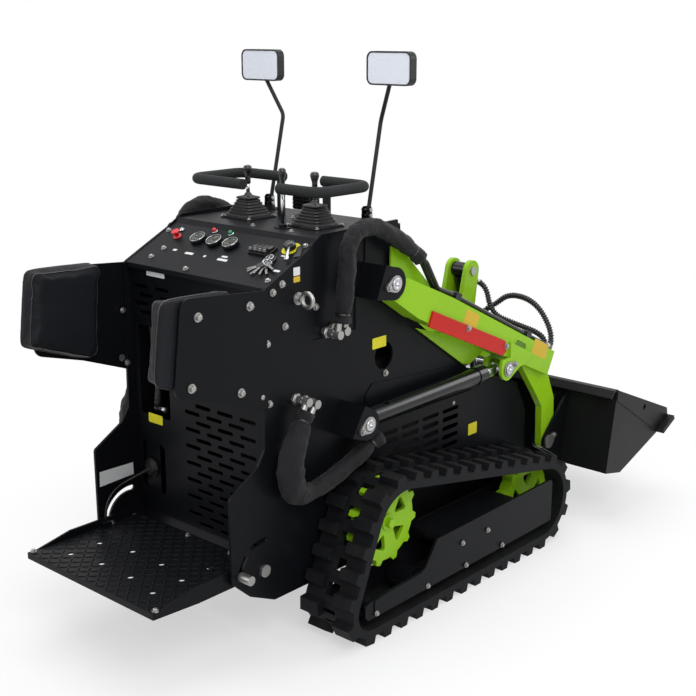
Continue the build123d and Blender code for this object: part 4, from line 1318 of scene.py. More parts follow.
@dataclass
class HoseSleeves:
    """Nylon sleeves round the hoses on both sides, gathered and tied at their ends."""

    palette: Palette
    middle: float = 333.0
    radius: float = 25.0
    upper: tuple[Pair, ...] = ((44, 885), (62, 1000), (70, 1122), (206, 1140), (372, 1018))
    lower: tuple[Pair, ...] = ((-95, 668), (-168, 560), (-150, 432), (14, 452), (200, 524))

    def spot(self, side: Side, point: Pair) -> Vector:
        """A point of a route on its side."""
        return at(point[0], side.value * self.middle, point[1])

    def sleeve(self, side: Side, name: str, route: Sequence[Pair], seed: float,
               slack: float = 0.0) -> bpy.types.Object:
        """Makes one sleeve.

        Args:
            side: The side that it is on.
            name: Its name.
            route: Its route in the side view, in millimetres.
            seed: Shifts its creases.
            slack: How much wider its loop hangs, in millimetres.

        Returns:
            The piece.
        """
        path = smooth_route([(x, side.value * self.middle, z) for x, z in route], 3, 22)
        former = Former(name)

        def reach(share: float, turn: float) -> float:
            """Radius with creases round the sleeve, gathers at its ends and slack in its loop.

            Args:
                share: The share of the length.
                turn: The share of the turn.

            Returns:
                The radius in millimetres.
            """
            a = 2 * math.pi * turn
            along = share * 9 + seed
            fold = noise.noise(Vector((math.cos(a) * 1.1, math.sin(a) * 1.1, along * 1.7)))
            crease = noise.noise(Vector((math.cos(a) * 2.4 + 7, math.sin(a) * 2.4, along * 5.5)))
            end = min(share, 1 - share)
            gather = max(0.0, 1 - abs(end - 0.035) / 0.03)
            pleat = 0.9 * math.sin(9 * a) * max(0.0, 1 - end / 0.14)
            loop = slack * max(0.0, math.sin(math.pi * min(share / 0.62, 1.0)))
            fold *= 1 + loop / 8
            plain = self.radius - 1.2 + 3.2 * fold + 2.6 * crease + pleat
            return min(plain, self.radius + 1.5) + loop - 5.5 * gather

        former.tube(path, reach, 0, 36)
        count = len(path) - 1
        for share in (0.035, 0.965):
            i = round(share * count)
            spot = path[i]
            ahead = (path[min(i + 1, count)] - path[max(i - 1, 0)]).normalized()
            tie = [(19.5, 0), (21.4, 0.6), (21.4, 5.4), (19.5, 6)]
            former.lathe(spot - ahead * 0.003, ahead, tie, 1, 32)
        piece = former.piece(None, "soft_rubber", self.palette.nylon, self.palette.gloss_plastic)
        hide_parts(name.replace("_sleeve", ""))
        return piece

    def build(self) -> None:
        """Makes the four sleeves and bakes each one's place into its mesh."""
        for side in Side:
            right = side is Side.RIGHT
            name = f"upper_hose_{side.word}_sleeve"
            up = self.sleeve(side, name, self.upper, 0.0 if right else 4.0)
            start, end = self.spot(side, self.upper[1]), self.spot(side, self.upper[-1])
            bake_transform(up)
            name = f"lower_hose_{side.word}_sleeve"
            low = self.sleeve(side, name, self.lower, 9.0 if right else 2.0, 13.0)
            start, end = self.spot(side, self.lower[2]), self.spot(side, self.lower[-1])
            f"lift_barrel_{side.word}"
            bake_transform(low)


def rounded_box(width: float, height: float, corner: float, steps: int = 5) -> list[Pair]:
    """Outline of a rectangle with round corners about nought.

    Args:
        width: Its first size.
        height: Its second size.
        corner: The corners' radius.
        steps: Steps round a corner.

    Returns:
        Points in order.
    """
    points = []
    for turn, (a, b) in enumerate(((1, 1), (-1, 1), (-1, -1), (1, -1))):
        for step in range(steps + 1):
            angle = math.pi / 2 * (turn + step / steps)
            points.append((
                a * (width / 2 - corner) + corner * math.cos(angle),
                b * (height / 2 - corner) + corner * math.sin(angle),
            ))
    return points


def round_outline(radius: float, count: int = 20, start: float = 0.0) -> list[Pair]:
    """Points round a circle about nought."""
    angles = [start + 2 * math.pi * i / count for i in range(count)]
    return [(radius * math.cos(a), radius * math.sin(a)) for a in angles]


# Radii and heights of a lever's knob
HANDLE = (
    (6.4, 0), (8.4, 2), (8.8, 9), (7.7, 18), (8.2, 26), (10.6, 34), (12.6, 41), (12.8, 46),
    (11.0, 50.5), (7.0, 53.2), (2.4, 54.2), (0.2, 54.3),
)


@dataclass
class Dash:
    """Dials, lamps, switches, throttle and keys on the sloped dash."""

    palette: Palette
    edge: Pair = (-10.0, 1098.0)
    slope: float = math.atan2(90.0, 183.0)
    dials: tuple[float, ...] = (-111.0, -44.0, 22.0)
    dial_down: float = 60.0
    rockers: tuple[float, ...] = (118.0, 136.0, 154.0, 172.0)
    throttle: Pair = (226.0, 32.0)
    switch: Pair = (206.0, 92.0)
    strips: tuple[tuple[float, float, float, float], ...] = (
        (-154, 118, 15, 8), (-90, 122, 32, 9), (-26, 122, 9, 8), (43, 110, 22, 7), (47, 124, 38, 9),
        (229, 66, 18, 6), (258, 128, 22, 8),
    )
    key_turns: tuple[Pair, ...] = (
        (-52, 4), (-30, 8), (-12, 5), (6, 11), (24, 7), (44, 4), (66, 9),
    )

    def spot(self, across: float, down: float, out: float) -> Vector:
        """A place on the dash: right of the middle, down its slope and out of it."""
        c, s = math.cos(self.slope), math.sin(self.slope)
        return at(self.edge[0] - c * down - s * out, -across, self.edge[1] - s * down + c * out)

    @property
    def out(self) -> Vector:
        """The direction out of the dash."""
        return Vector((-math.sin(self.slope), 0.0, math.cos(self.slope)))

    def flat(self, across: float, down: float, turn: float = 0.0) -> Placer:
        """Places outlines on the dash, turned about a point on it."""
        c, s = math.cos(turn), math.sin(turn)
        return lambda a, b, level: self.spot(across + a * c - b * s, down - a * s - b * c, level)

    def dial(self, former: Former, across: float, reading: float) -> None:
        """A gauge with a bezel, a face, marks and a needle.

        Args:
            former: Takes the shapes.
            across: Its place right of the middle.
            reading: The needle's angle in degrees.
        """
        base = self.spot(across, self.dial_down, 0)
        rim = [
            (22.5, 0), (24.0, 1.5), (24.0, 12.0), (23.2, 13.6), (21.4, 14.0), (20.3, 13.0),
            (19.8, 11.4),
        ]
        former.lathe(base, self.out, rim, 0, 40)
        former.ring(self.spot(across, self.dial_down, 13.5), self.out, 22.2, 0.8, 1)
        face = [(19.6, 0), (19.6, 0.3)]
        former.lathe(self.spot(across, self.dial_down, 11.4), self.out, face, 2, 40)
        for i in range(11):
            angle = math.radians(225 - 27 * i)
            long = 5.0 if i % 5 == 0 else 3.0
            mark = [(17.4 - long, -0.5), (17.4, -0.5), (17.4, 0.5), (17.4 - long, 0.5)]
            former.prism(mark, self.flat(across, self.dial_down, angle), 11.7, 12.0, 3)
        pointer = [(-4.0, -0.9), (14.0, -0.3), (14.0, 0.3), (-4.0, 0.9)]
        former.prism(pointer, self.flat(across, self.dial_down, math.radians(reading)), 12.1, 12.6, 4)
        hub = [(3.0, 0), (3.0, 1.4), (2.2, 1.9)]
        former.lathe(self.spot(across, self.dial_down, 11.7), self.out, hub, 0, 16)
        panel = [(a, b - 8) for a, b in rounded_box(13, 6, 1.0, 2)]
        former.prism(panel, self.flat(across, self.dial_down), 11.7, 12.0, 5)

    def lamp(self, former: Former, across: float, down: float, number: int) -> None:
        """A warning lamp: a plated nut under a domed lens.

        Args:
            former: Takes the shapes.
            across: Its place right of the middle.
            down: Its place down the slope.
            number: The lens's material.
        """
        base = self.spot(across, down, 0)
        former.lathe(base, self.out, [(9.0, 0), (9.0, 3.4), (7.4, 4.4)], 1, 6, False)
        lens = [(6.6, 3), (6.6, 8), (5.9, 11), (4.0, 13.1), (1.5, 13.9), (0.1, 14)]
        former.lathe(base, self.out, lens, number, 24)

    def key(self, former: Former, centre: Place, turn: float, number: int) -> None:
        """A flat key that hangs from a ring.

        Args:
            former: Takes the shapes.
            centre: The ring's place: across, down and out.
            turn: The key's lean in degrees.
            number: The bow's material.
        """
        place = self.flat(centre[0], centre[1], math.radians(turn - 90))
        bow = [(15 + a, b) for a, b in round_outline(11.0, 18)]
        blade = [
            (24, -3.4), (50, -3.4), (54, 0), (50, 3.4), (46, 1.6), (43, 3.4), (39, 1.2), (35, 3.4),
            (24, 3.4),
        ]
        former.prism(bow, place, centre[2], centre[2] + 2.8, number)
        former.prism(blade, place, centre[2] + 0.4, centre[2] + 2.2, 2)
        former.ring(place(8.0, 0.0, centre[2] + 1.4), self.out, 4.0, 0.7, 1)

    def instruments(self) -> None:
        """Dials, lamps, the stop pull and the blank strips."""
        p = self.palette
        former = Former("dash_instruments")
        for across, reading in zip(self.dials, (150.0, 98.0, 205.0)):
            self.dial(former, across, reading)
        self.lamp(former, -88, 14, 6)
        self.lamp(former, -22, 14, 7)
        pull = self.spot(-203, 60, 0)
        former.lathe(pull, self.out, [(13, 0), (13, 2.5), (11, 4), (8.5, 6)], 6, 28)
        knob = [(6.5, 5), (6.5, 12), (10.5, 13), (12.5, 15), (12.5, 19), (10.5, 21), (7, 19.5)]
        former.lathe(pull, self.out, knob, 6, 28)
        plug = [(8, 0), (8, 4), (5, 4.5), (5, 7), (0.2, 7.4)]
        former.lathe(self.spot(-215, 28, 0), self.out, plug, 1, 20)
        for across, down, width, height in self.strips:
            former.prism(rounded_box(width, height, 1.0, 2), self.flat(across, down), SKIN, 0.5, 8)
        piece = former.piece(
            Body.MACHINE, "black_plastic", p.gloss_plastic, p.chrome, p.dial, p.ink, p.orange, p.glass,
            p.red_lens, p.green_lens, p.white,
        )
        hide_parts("instruments")

    def switches(self) -> None:
        """Rocker switches in their housing, the key switch and the hand throttle."""
        p = self.palette
        former = Former("dash_switches")
        former.prism(rounded_box(84, 42, 6), self.flat(145, 60), 0, 6, 0)
        face = [
            (42, 5), (78, 5), (78, 13), (75, 17.5), (70, 18), (61, 12.5), (52, 10.5), (44, 10), (42, 8),
        ]
        for across in self.rockers:
            former.prism(face, lambda a, b, c: self.spot(c, a, b), across - 7.6, across + 7.6, 1)
            former.prism(rounded_box(8, 1.6, 0.6, 2), self.flat(across, 73), 17.6, 18.3, 2)
        barrel = self.spot(*self.switch, 0)
        collar = [(16, 0), (16, 4), (15, 6), (13, 7), (12.5, 11), (10, 12), (9, 11)]
        former.lathe(barrel, self.out, collar, 1, 32)
        former.ring(self.spot(*self.switch, 11.4), self.out, 10.6, 1.2, 2)
        former.piece(Body.MACHINE, "black_plastic", p.plastic, p.gloss_plastic, p.chrome, bevel=0.7)
        lever = Former("dash_throttle")
        base = self.spot(*self.throttle, 0)
        lever.lathe(base, self.out, [(26, 0), (26, 1.2)], 2, 48)
        mark = [(20.5, -0.6), (24.0, -0.9), (24.0, 0.9), (20.5, 0.6)]
        for i in range(9):
            lever.prism(mark, self.flat(*self.throttle, math.radians(-30 + 24 * i)), 1.1, 1.4, 0)
        knob = [(15.5, 1), (16.6, 3), (16.6, 13), (15, 18), (11.5, 21), (6, 22), (0.2, 22)]
        lever.lathe(base, self.out, knob, 0, 12, False)
        rod = [self.spot(236, 44, 14), self.spot(248, 63, 13), self.spot(262, 86, 11)]
        lever.tube(rod, steady(4.2), 1, 14)
        lever.lathe(self.spot(262, 86, 6), self.out, [(7.4, 0), (7.4, 8), (5, 9)], 1, 6, False)
        lever.prism(rounded_box(18, 52, 4), self.flat(262, 40, math.radians(28)), 0, 3.2, 0)
        lever.piece(Body.MACHINE, "black_plastic", p.gloss_plastic, p.chrome, p.yellow, bevel=0.6)

    def in_switch(self, a: float, b: float, level: float) -> Vector:
        """Places an outline that stands in the key switch, with its first number out of the dash."""
        return self.spot(self.switch[0] + level, self.switch[1] + b * 0.3, 12 + a)

    def keys(self) -> None:
        """The key in its switch and the bunch that hangs from it."""
        p = self.palette
        former = Former("dash_keys")
        former.prism([(0, -3), (9, -3), (9, 3), (0, 3)], self.in_switch, -1.1, 1.1, 1)
        bow = [(18 + a, b * 1.1) for a, b in round_outline(10.5, 18)]
        former.prism(bow, self.in_switch, -1.8, 1.8, 0)
        across, down = self.switch[0] + 2, self.switch[1] + 22
        lean = self.out + Vector((-0.3, 0.5, 0))
        former.ring(self.spot(across, down - 5, 15), lean, 15, 1.1, 1)
        lean = self.out + Vector((0.2, -0.5, 0))
        former.ring(self.spot(across + 12, down + 2, 13), lean, 11, 1.0, 1)
        for i, (turn, level) in enumerate(self.key_turns):
            self.key(former, (across, down, float(level)), turn, 0 if i % 2 else 2)
        former.piece(Body.MACHINE, "zinc_steel", p.gloss_plastic, p.chrome, p.key_steel, bevel=0.3)

    def build(self) -> None:
        """Makes everything on the dash."""
        self.instruments()
        self.switches()
        self.keys()


@dataclass
class Levers:
    """Two joysticks in pleated boots and the slim lever between them."""

    palette: Palette
    sticks: tuple[Pair, ...] = ((145.0, 128.0), (149.0, -136.0))
    pleats: int = 6
    stand: Pair = (66.0, -92.0)

    def boot(self, former: Former, x: float, y: float) -> None:
        """A bellows that narrows from its flange to the stem.

        Args:
            former: Takes the shapes.
            x: The stick's place along the machine.
            y: Its place across.
        """
        place, plate_top = lying(x, y), DECK_Z + PLATE
        former.prism(rounded_box(128, 116, 12), place, DECK_Z, plate_top, 1)
        former.prism(rounded_box(122, 110, 12), place, plate_top, plate_top + 3, 0)
        sections: list[tuple[float, float, float, float]] = [(108.0, 98.0, 14.0, 6.0)]
        for i in range(self.pleats):
            wide, deep, level = 106 - 8.4 * i, 96 - 7.6 * i, 9.0 + 8.0 * i
            sections += [
                (wide, deep, 15.0, level), (wide - 1, deep - 1, 15.0, level + 1.6),
                (wide - 12, deep - 12, 13.0, level + 4.6), (wide - 13, deep - 13, 13.0, level + 5.8),
            ]
        sections += [
            (60, 54, 14, 55.5), (62, 56, 15, 58.0), (58, 52, 15, 60.5), (40, 36, 14, 62.5),
            (24, 22, 10, 65.0), (17, 17, 8, 71.0), (12, 12, 5.8, 72.5),
        ]
        loops = []
        for wide, deep, corner, level in sections:
            outline = rounded_box(wide, deep, corner, 6)
            loops.append([place(a, b, DECK_Z + level) for a, b in outline])
        former.rings(loops, 0, True, True)

    def build(self) -> None:
        """Makes the joysticks and the centre lever."""
        p = self.palette
        former = Former("joysticks_detail")
        for x, y in self.sticks:
            self.boot(former, x, y)
            former.lathe(at(x, y, DECK_Z + 68), UP, [(5.6, 0), (5.6, 36)], 2, 20)
            former.lathe(at(x, y, DECK_Z + 98), UP, HANDLE, 3, 28)
        piece = former.piece(Body.MACHINE, "soft_rubber", p.boot, p.deck, p.chrome, p.gloss_plastic)
        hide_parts("joysticks")
        x, y = self.stand
        lever = Former("centre_lever_detail")
        lever.prism(rounded_box(46, 30, 5), lying(x, y), DECK_Z, DECK_Z + 3, 1)
        lever.lathe(at(x, y, DECK_Z + 2), UP, [(12, 0), (12, 8), (7, 11)], 1, 6, False)
        lever.lathe(at(x, y, DECK_Z + 8), UP, [(5, 0), (5, 108)], 0, 20)
        grip = [(radius * 0.86, height) for radius, height in HANDLE]
        lever.lathe(at(x, y, DECK_Z + 112), UP, grip, 2, 28)
        piece = lever.piece(Body.MACHINE, "zinc_steel", p.chrome, p.deck, p.gloss_plastic)
        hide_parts("centre_lever")


@dataclass
class Lookouts:
    """Mirror faces, the forks that hold their stalks, and the work light's lens and grille."""

    palette: Palette
    face_x: float = 324.0
    head: Pair = (253.0, 1540.0)
    size: Pair = (158.0, 92.0)
    base: Pair = (300.0, 197.0)
    lamp_x: float = 316.0
    lamp_y: float = 44.0
    lamp_z: Pair = (1124.0, 1174.0)

    @staticmethod
    def rim(former: Former, place: Placer, outlines: tuple[list[Pair], list[Pair]], levels: Pair,
            number: int) -> None:
        """A closed rim between an outer and an inner outline.

        Args:
            former: Takes the shape.
            place: Turns two numbers and a level into a point.
            outlines: The outer and the inner outline.
            levels: The rim's two levels.
            number: The material's number.
        """
        (outer, inner), (low, high) = outlines, levels
        steps = ((outer, low), (outer, high), (inner, high), (inner, low), (outer, low))
        loops = [[place(a, b, level) for a, b in outline] for outline, level in steps]
        former.rings(loops, number, False, False)

    def mirror(self, side: Side) -> None:
        """A glass painted pale blue-white as a reflection, in a raised rim, and a fork with two bolts
        at the stalk's foot.

        Args:
            side: The side that it is on.
        """
        p, sign = self.palette, side.value
        place = standing(sign * self.head[0], self.head[1])
        wide, high = self.size
        former = Former(f"mirror_{side.word}_glass")
        # The pane is the pale sheet, a painted reflection.
        pane = rounded_box(wide - 9, high - 9, 16, 6)
        former.prism(pane, place, self.face_x - 0.8, self.face_x - 0.1, 0)
        outlines = rounded_box(wide, high, 20, 6), rounded_box(wide - 8, high - 8, 16, 6)
        self.rim(former, place, outlines, (self.face_x, self.face_x - 2.4), 1)
        former.piece(Body.MACHINE, "black_plastic", p.mirror, p.plastic)
        fork = Former(f"mirror_{side.word}_fork")
        x, y = self.base[0], sign * self.base[1]
        fork.prism(rounded_box(44, 40, 5), lying(x, y), DECK_Z, DECK_Z + PLATE, 0)
        ear = [(-14, 3), (14, 3), (12, 40), (7, 46), (-7, 46), (-12, 40)]
        for step in (-9.5, 7.0):
            fork.prism(ear, lambda a, b, c: at(x + a, y + c, DECK_Z + b), step, step + 2.5, 0)
        bolt = [(6.4, -4), (6.4, 2), (3, 2.2), (3, 24), (6.4, 24.2), (6.4, 30)]
        for level in (20.0, 36.0):
            fork.lathe(at(x, y - 13, DECK_Z + level), Vector((0, 1, 0)), bolt, 1, 6, False)
        fork.piece(Body.MACHINE, "zinc_steel", p.deck, p.zinc, bevel=0.5)

    def light(self) -> None:
        """The lamp's front: a bezel, a lens and eight reflectors, and bars across its fins."""
        p, x, y = self.palette, self.lamp_x, self.lamp_y
        middle_z = sum(self.lamp_z) / 2
        place = standing(y, middle_z)
        former = Former("work_light_lens")
        outer, inner = rounded_box(76, 50, 5, 4), rounded_box(66, 40, 4, 4)
        self.rim(former, place, (outer, inner), (x, x + 3.5), 0)
        former.prism(inner, place, x + 0.1, x + 0.8, 2)
        bowl = [(7, 0), (6.6, 1.2), (4, 1.6), (2, 2.2), (0.2, 2.3)]
        for column in range(4):
            for row in range(2):
                centre = at(x + 0.6, y - 24 + 16 * column, middle_z - 8 + 16 * row)
                former.lathe(centre, Vector((1, 0, 0)), bowl, 1, 16)
        for row in range(4):
            level = self.lamp_z[0] + 9 + 10.7 * row
            former.block((278.6, 8, level), (280.4, 80, level + 2.4), 0)
        former.piece(Body.MACHINE, "black_plastic", p.plastic, p.chrome, p.white, bevel=0.4)

    def build(self) -> None:
        """Makes both mirrors and the light."""
        for side in Side:
            self.mirror(side)
        self.light()


@dataclass
class Fasteners:
    """Plated bolts on the body, the frames, the platform, the pads and the arms."""

    palette: Palette
    bolt: Pattern
    body_wall: tuple[Pair, ...] = (
        (-127, 900), (-193, 865), (-170, 996), (-136, 1013), (-217, 729), (-188, 703), (-113, 545),
        (-11, 932), (279, 687), (615, 353), (684, 335), (604, 521),
    )
    pad_wall: tuple[Pair, ...] = ((-427, 978), (-256, 976), (-454, 806), (-292, 758))
    inner_wall: tuple[Pair, ...] = ((-213, 870), (-205, 713), (-218, 259))
    frame_wall: tuple[Pair, ...] = (
        (31, 84), (260, 83), (446, 84), (635, 86), (426, 162), (555, 162),
    )
    boot: tuple[Pair, ...] = ((-51, -56), (-51, 56), (51, 56), (51, -56))
    deck: tuple[Pair, ...] = ((40, 0), (40, -150), (220, 20), (250, -60), (250, 90))
    tread: tuple[Pair, ...] = (
        (-303, 262), (-214, 28), (-570, -262), (-303, -262), (-570, 262), (-214, -150),
    )
    strut: tuple[Pair, ...] = ((776, 682), (572, 778))
    dash: tuple[Pair, ...] = ((-200, 120), (-208, 164), (-38, 187), (262, 12), (266, 172), (-262, 40))

    def on_machine(self, dash: Dash, levers: Levers) -> list[Spot]:
        """Lists the bolts of the body, the frames, the pads, the dash and the deck.

        Args:
            dash: Gives places and the direction on the dash.
            levers: Gives the places of the boots.

        Returns:
            Place, direction, twist and growth of each bolt.
        """
        walls = (
            (self.body_wall, WALL_Y, 1.0), (self.pad_wall, PAD_Y, 1.2), (self.frame_wall, FRAME_Y, 0.8),
        )
        spots: list[Spot] = []
        for side in Side:
            out = Vector((0, side.value, 0))
            for places, y, growth in walls:
                spots += [(at(x, side.value * y, z), out, x * 0.7, growth) for x, z in places]
            inner_y = side.value * WALL_INNER_Y
            spots += [(at(x, inner_y, z), -out, x * 0.3, 0.9) for x, z in self.inner_wall]
        spots += [(dash.spot(a, d, 0), dash.out, a * 0.4, 0.8) for a, d in self.dash]
        plate_top = DECK_Z + PLATE
        for x, y in levers.sticks:
            spots += [(at(x + a, y + b, plate_top), UP, a * 0.6, 0.62) for a, b in self.boot]
        return spots + [(at(x, y, DECK_Z), UP, y * 0.2, 0.7) for x, y in self.deck]

    def build(self, dash: Dash, levers: Levers) -> None:
        """Sets every bolt.

        Args:
            dash: The dash, which carries some.
            levers: The levers, whose boots are bolted down.
        """
        zinc = self.palette.zinc
        machine = self.on_machine(dash, levers)
        patterned(self.bolt, "body_bolts", Body.MACHINE, zinc, machine)
        tread = [(at(x, y, TREAD_Z), UP, x * 0.5, 0.9) for x, y in self.tread]
        patterned(self.bolt, "platform_screws", Body.PLATFORM, zinc, tread)
        arms = [(at(x, -STRUT_Y, z), Vector((0, -1, 0)), x * 0.4, 1.0) for x, z in self.strut]
        patterned(self.bolt, "strut_bolts", Body.ARMS, zinc, arms)


@dataclass
class TreadPlate:
    """Raised bars of the platform's chequer plate, clear of its drain holes."""

    palette: Palette
    bar: Pattern
    low: Pair = (-574.0, -258.0)
    high: Pair = (-212.0, 258.0)
    pitch: float = 21.0
    clearance: float = 20.0
    switch_box: Pair = (-352.0, 234.0)
    holes: tuple[Pair, ...] = (
        (-508, 176), (-411, 176), (-314, 176), (-508, -176), (-411, -176), (-314, -176),
        (-489.5, 62), (-384.5, 62), (-489.5, -62), (-384.5, -62),
    )

    def build(self) -> None:
        """Lays the bars in a basket pattern."""
        spots = []
        rows = int((self.high[0] - self.low[0]) / self.pitch)
        columns = int((self.high[1] - self.low[1]) / self.pitch)
        for row in range(rows + 1):
            for column in range(columns + 1):
                x, y = self.low[0] + row * self.pitch, self.low[1] + column * self.pitch
                if any(math.hypot(x - a, y - b) < self.clearance for a, b in self.holes):
                    continue
                if x > self.switch_box[0] and y > self.switch_box[1]:
                    continue
                turn = math.radians(45 if (row + column) % 2 else -45)
                spots.append((at(x, y, TREAD_Z), UP, turn, 1.0))
        black = self.palette.black
        patterned(self.bar, "platform_tread_bars", Body.PLATFORM, black, spots)


@dataclass
class Stickers:
    """Blank stickers and plates where the machine has its labels."""

    palette: Palette

    @staticmethod
    def panel(x: float, z: float, width: float, height: float, lean: float = 0.0) -> list[Pair]:
        """A rectangle with round corners at a place, leaning by so many degrees."""
        c, s = math.cos(math.radians(lean)), math.sin(math.radians(lean))
        return [(x + a * c - b * s, z + a * s + b * c) for a, b in rounded_box(width, height, 2.5, 3)]

    def on_sides(self, former: Former, rows: Sequence[tuple[Any, ...]]) -> None:
        """Puts thin plates on both sides of the machine.

        Args:
            former: Takes the shapes.
            rows: The wall's distance from the middle, the material's number and the panel's sizes.
        """
        for side in Side:
            for wall, number, *sizes in rows:
                y = side.value * (wall + SKIN)
                former.prism(self.panel(*sizes), side_view, y, y + side.value * 0.4, number)

    def build(self) -> None:
        """Makes the stickers of the machine and of the arms."""
        p = self.palette
        former = Former("body_stickers")
        self.on_sides(former, (
            (WALL_Y, 0, 252, 783, 60, 32), (GRILLE_Y, 0, 713, 409, 46, 38),
            (WALL_Y, 1, -81, 1038, 24, 22), (WALL_Y, 2, -81, 1017, 24, 15),
        ))
        rear = ((0, 192, 555, 62, 28), (3, 166, 996, 78, 11), (1, 166, 983, 78, 13))
        for number, *sizes in rear:
            former.prism(self.panel(*sizes), standing(0, 0), REAR_X - SKIN, REAR_X - 0.5, number)
        label = [(-324, 409), (-203, 407), (-202, 370), (-325, 364)]
        former.prism(label, side_view, WALL_INNER_Y - SKIN, WALL_INNER_Y - 0.4, 1)
        former.piece(Body.MACHINE, "black_plastic", p.yellow, p.white, p.orange, p.red_label)
        arms = Former("arm_stickers")
        self.on_sides(arms, (
            (ARM_Y, 0, 597, 801, 74, 44, ARM_LEAN), (ARM_Y, 0, 985, 630, 92, 50, ARM_LEAN),
        ))
        arms.piece(Body.ARMS, "black_plastic", p.orange)


@dataclass
class TiltHoses:
    """Two wrapped hoses from the right arm's tubes to the tilt cylinder."""

    palette: Palette
    turns: Pattern
    outer: tuple[Place, ...] = (
        (1052.7, -339, 625.8), (1082, -339, 611.6), (1104, -322, 672), (1114, -250, 752),
        (1122, -140, 764), (1112, -84, 716), (1081, -50, 690), (1081, -50, 633.1),
    )
    inner: tuple[Place, ...] = (
        (1052.7, -320, 625.8), (1082, -320, 611.6), (1092, -296, 650), (1094, -180, 668),
        (1074, -96, 694), (1092.7, -58, 793.9), (1092.7, -10.3, 793.9),
    )
    wrap_step: float = 0.0085

    def build(self) -> None:
        """Makes both hoses and their wraps, from the arms to the cylinder."""
        p = self.palette
        ferrule = [(7.8, 0), (10.4, 0.5), (10.4, 12), (9.2, 13), (9.2, 26), (7.6, 27)]
        for name, route in (("tilt_hose_outer", self.outer), ("tilt_hose_inner", self.inner)):
            path = smooth_route(route, 3, 70)
            former = Former(name)
            former.tube(path, steady(7.4), 0, 16)
            for end, direction in ((path[0], path[4] - path[0]), (path[-1], path[-5] - path[-1])):
                former.lathe(end, direction, ferrule, 1, 20)
            hose = former.piece(None, "soft_rubber", p.wrap, p.zinc)
            lengths, spots = 0.0, []
            for i in range(2, len(path) - 2):
                lengths += (path[i] - path[i - 1]).length
                if lengths > self.wrap_step:
                    lengths = 0.0
                    along = (path[i + 1] - path[i - 1]).normalized()
                    spots.append((path[i].copy(), along, 0.0, 1.0))
            # The turns take the lighter grey, a painted highlight along the spiral.
            spiral = patterned(self.turns, f"{name}_wrap", None, p.wrap_band, spots)
            if name == "tilt_hose_outer":
                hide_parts("tilt_hoses")
            start, end = at(*route[1]), at(*route[-2])
            for piece in (hose, spiral):
                tuple(end)
                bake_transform(piece)


@dataclass
class PlatformCable:
    """Black cable from the socket in the rear panel's window to the platform's switch."""

    palette: Palette
    route: tuple[Place, ...] = (
        (-186, 222, 396), (-232, 252, 372), (-296, 256, 352), (-328, 255, 310), (-328, 255, 264.3),
    )
    socket: Place = (-175.3, 218.0, 400.0)
    ribs: int = 12
    rib_circle: float = 26.5

    def build(self) -> None:
        """Makes the cable and the ribbed cap that it leaves."""
        p = self.palette
        path = smooth_route(self.route, 3, 20)
        cable = Former("platform_cable_sheath")
        cable.tube(path, lambda share, _: 3.4 + 2.2 * max(0.0, 1 - share / 0.12), 0, 16)
        piece = cable.piece(None, "soft_rubber", p.cable_sheath)
        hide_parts("platform_cable")
        start, end = at(*self.route[1]), at(*self.route[-1])
        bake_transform(piece)
        cap = Former("cable_socket")
        back = Vector((-1, 0, 0))
        body = [(27, 0), (28, 2), (28, 9), (25, 11), (24, 14), (15, 16), (13, 17), (0.2, 17)]
        cap.lathe(at(*self.socket), back, body, 0, 36)
        x, y, z = self.socket
        for across, up in round_outline(self.rib_circle, self.ribs):
            cap.lathe(at(x, y + across, z + up), back, [(3, 1), (3, 10), (1, 11.5)], 0, 8)
        relief = [(9, -6), (9, 4), (7, 8), (5.4, 18), (4.4, 24)]
        cap.lathe(at(-184, 222, 396), Vector((-46, 30, -24)), relief, 0, 20)
        cap.piece(Body.MACHINE, "black_plastic", p.plastic)


@dataclass
class WindowHose:
    """Green-striped hose that shows behind the rear panel's tall window."""

    palette: Palette
    route: tuple[Place, ...] = (
        (-150, 232, 850), (-152, 224, 790), (-156, 208, 720), (-158, 200, 650), (-158, 208, 612),
        (-158, 206, 590),
    )

    def build(self) -> None:
        """Makes the hose and the elbow at its foot."""
        p = self.palette
        former = Former("window_hose")
        path = smooth_route(self.route, 3, 18)
        former.tube(path, steady(9.0), 0, 20)
        clamp = [(10.5, -16), (11.5, -14), (11.5, 0), (9, 1), (9, 8)]
        former.lathe(path[-1], Vector((0, 0, -1)), clamp, 1, 20)
        inwards = Vector((0, -1, 0))
        elbow = [(11, 0), (11, 14), (8, 15), (8, 30)]
        former.lathe(at(-158, 214, 580), inwards, elbow, 1, 6, False)
        former.lathe(at(-158, 182, 580), inwards, [(8.6, 0), (8.6, 10), (5, 12)], 2, 6, False)
        former.piece(Body.MACHINE, "soft_rubber", p.striped, p.plastic, p.zinc)


@dataclass
class HoseEnds:
    """Hexagon nuts and collars on the stubs that the hoses leave from."""

    palette: Palette
    upper: tuple[Pair, ...] = ((26, 856), (54, 862))
    lower: tuple[Pair, ...] = ((-96, 697), (-64, 684))

    def build(self) -> None:
        """Makes the nuts on both sides."""
        nut = [(15, 0.2), (16.5, 1.5), (16.5, 11), (15, 12.5), (12.4, 12.6)]
        collar = [(12.4, 12), (13.6, 13), (13.6, 15), (12.2, 16)]
        outer_nut = [(12.6, 30), (13.8, 31), (13.8, 36), (12.6, 37)]
        for side in Side:
            former = Former(f"hose_nuts_{side.word}")
            out = Vector((0, side.value, 0))
            for x, z in self.upper + self.lower:
                base = at(x, side.value * WALL_Y, z)
                former.lathe(base, out, nut, 0, 6, False)
                former.lathe(base, out, collar, 0, 28)
                former.lathe(base, out, outer_nut, 0, 6, False)
            former.piece(Body.MACHINE, "zinc_steel", self.palette.zinc, bevel=0.5)


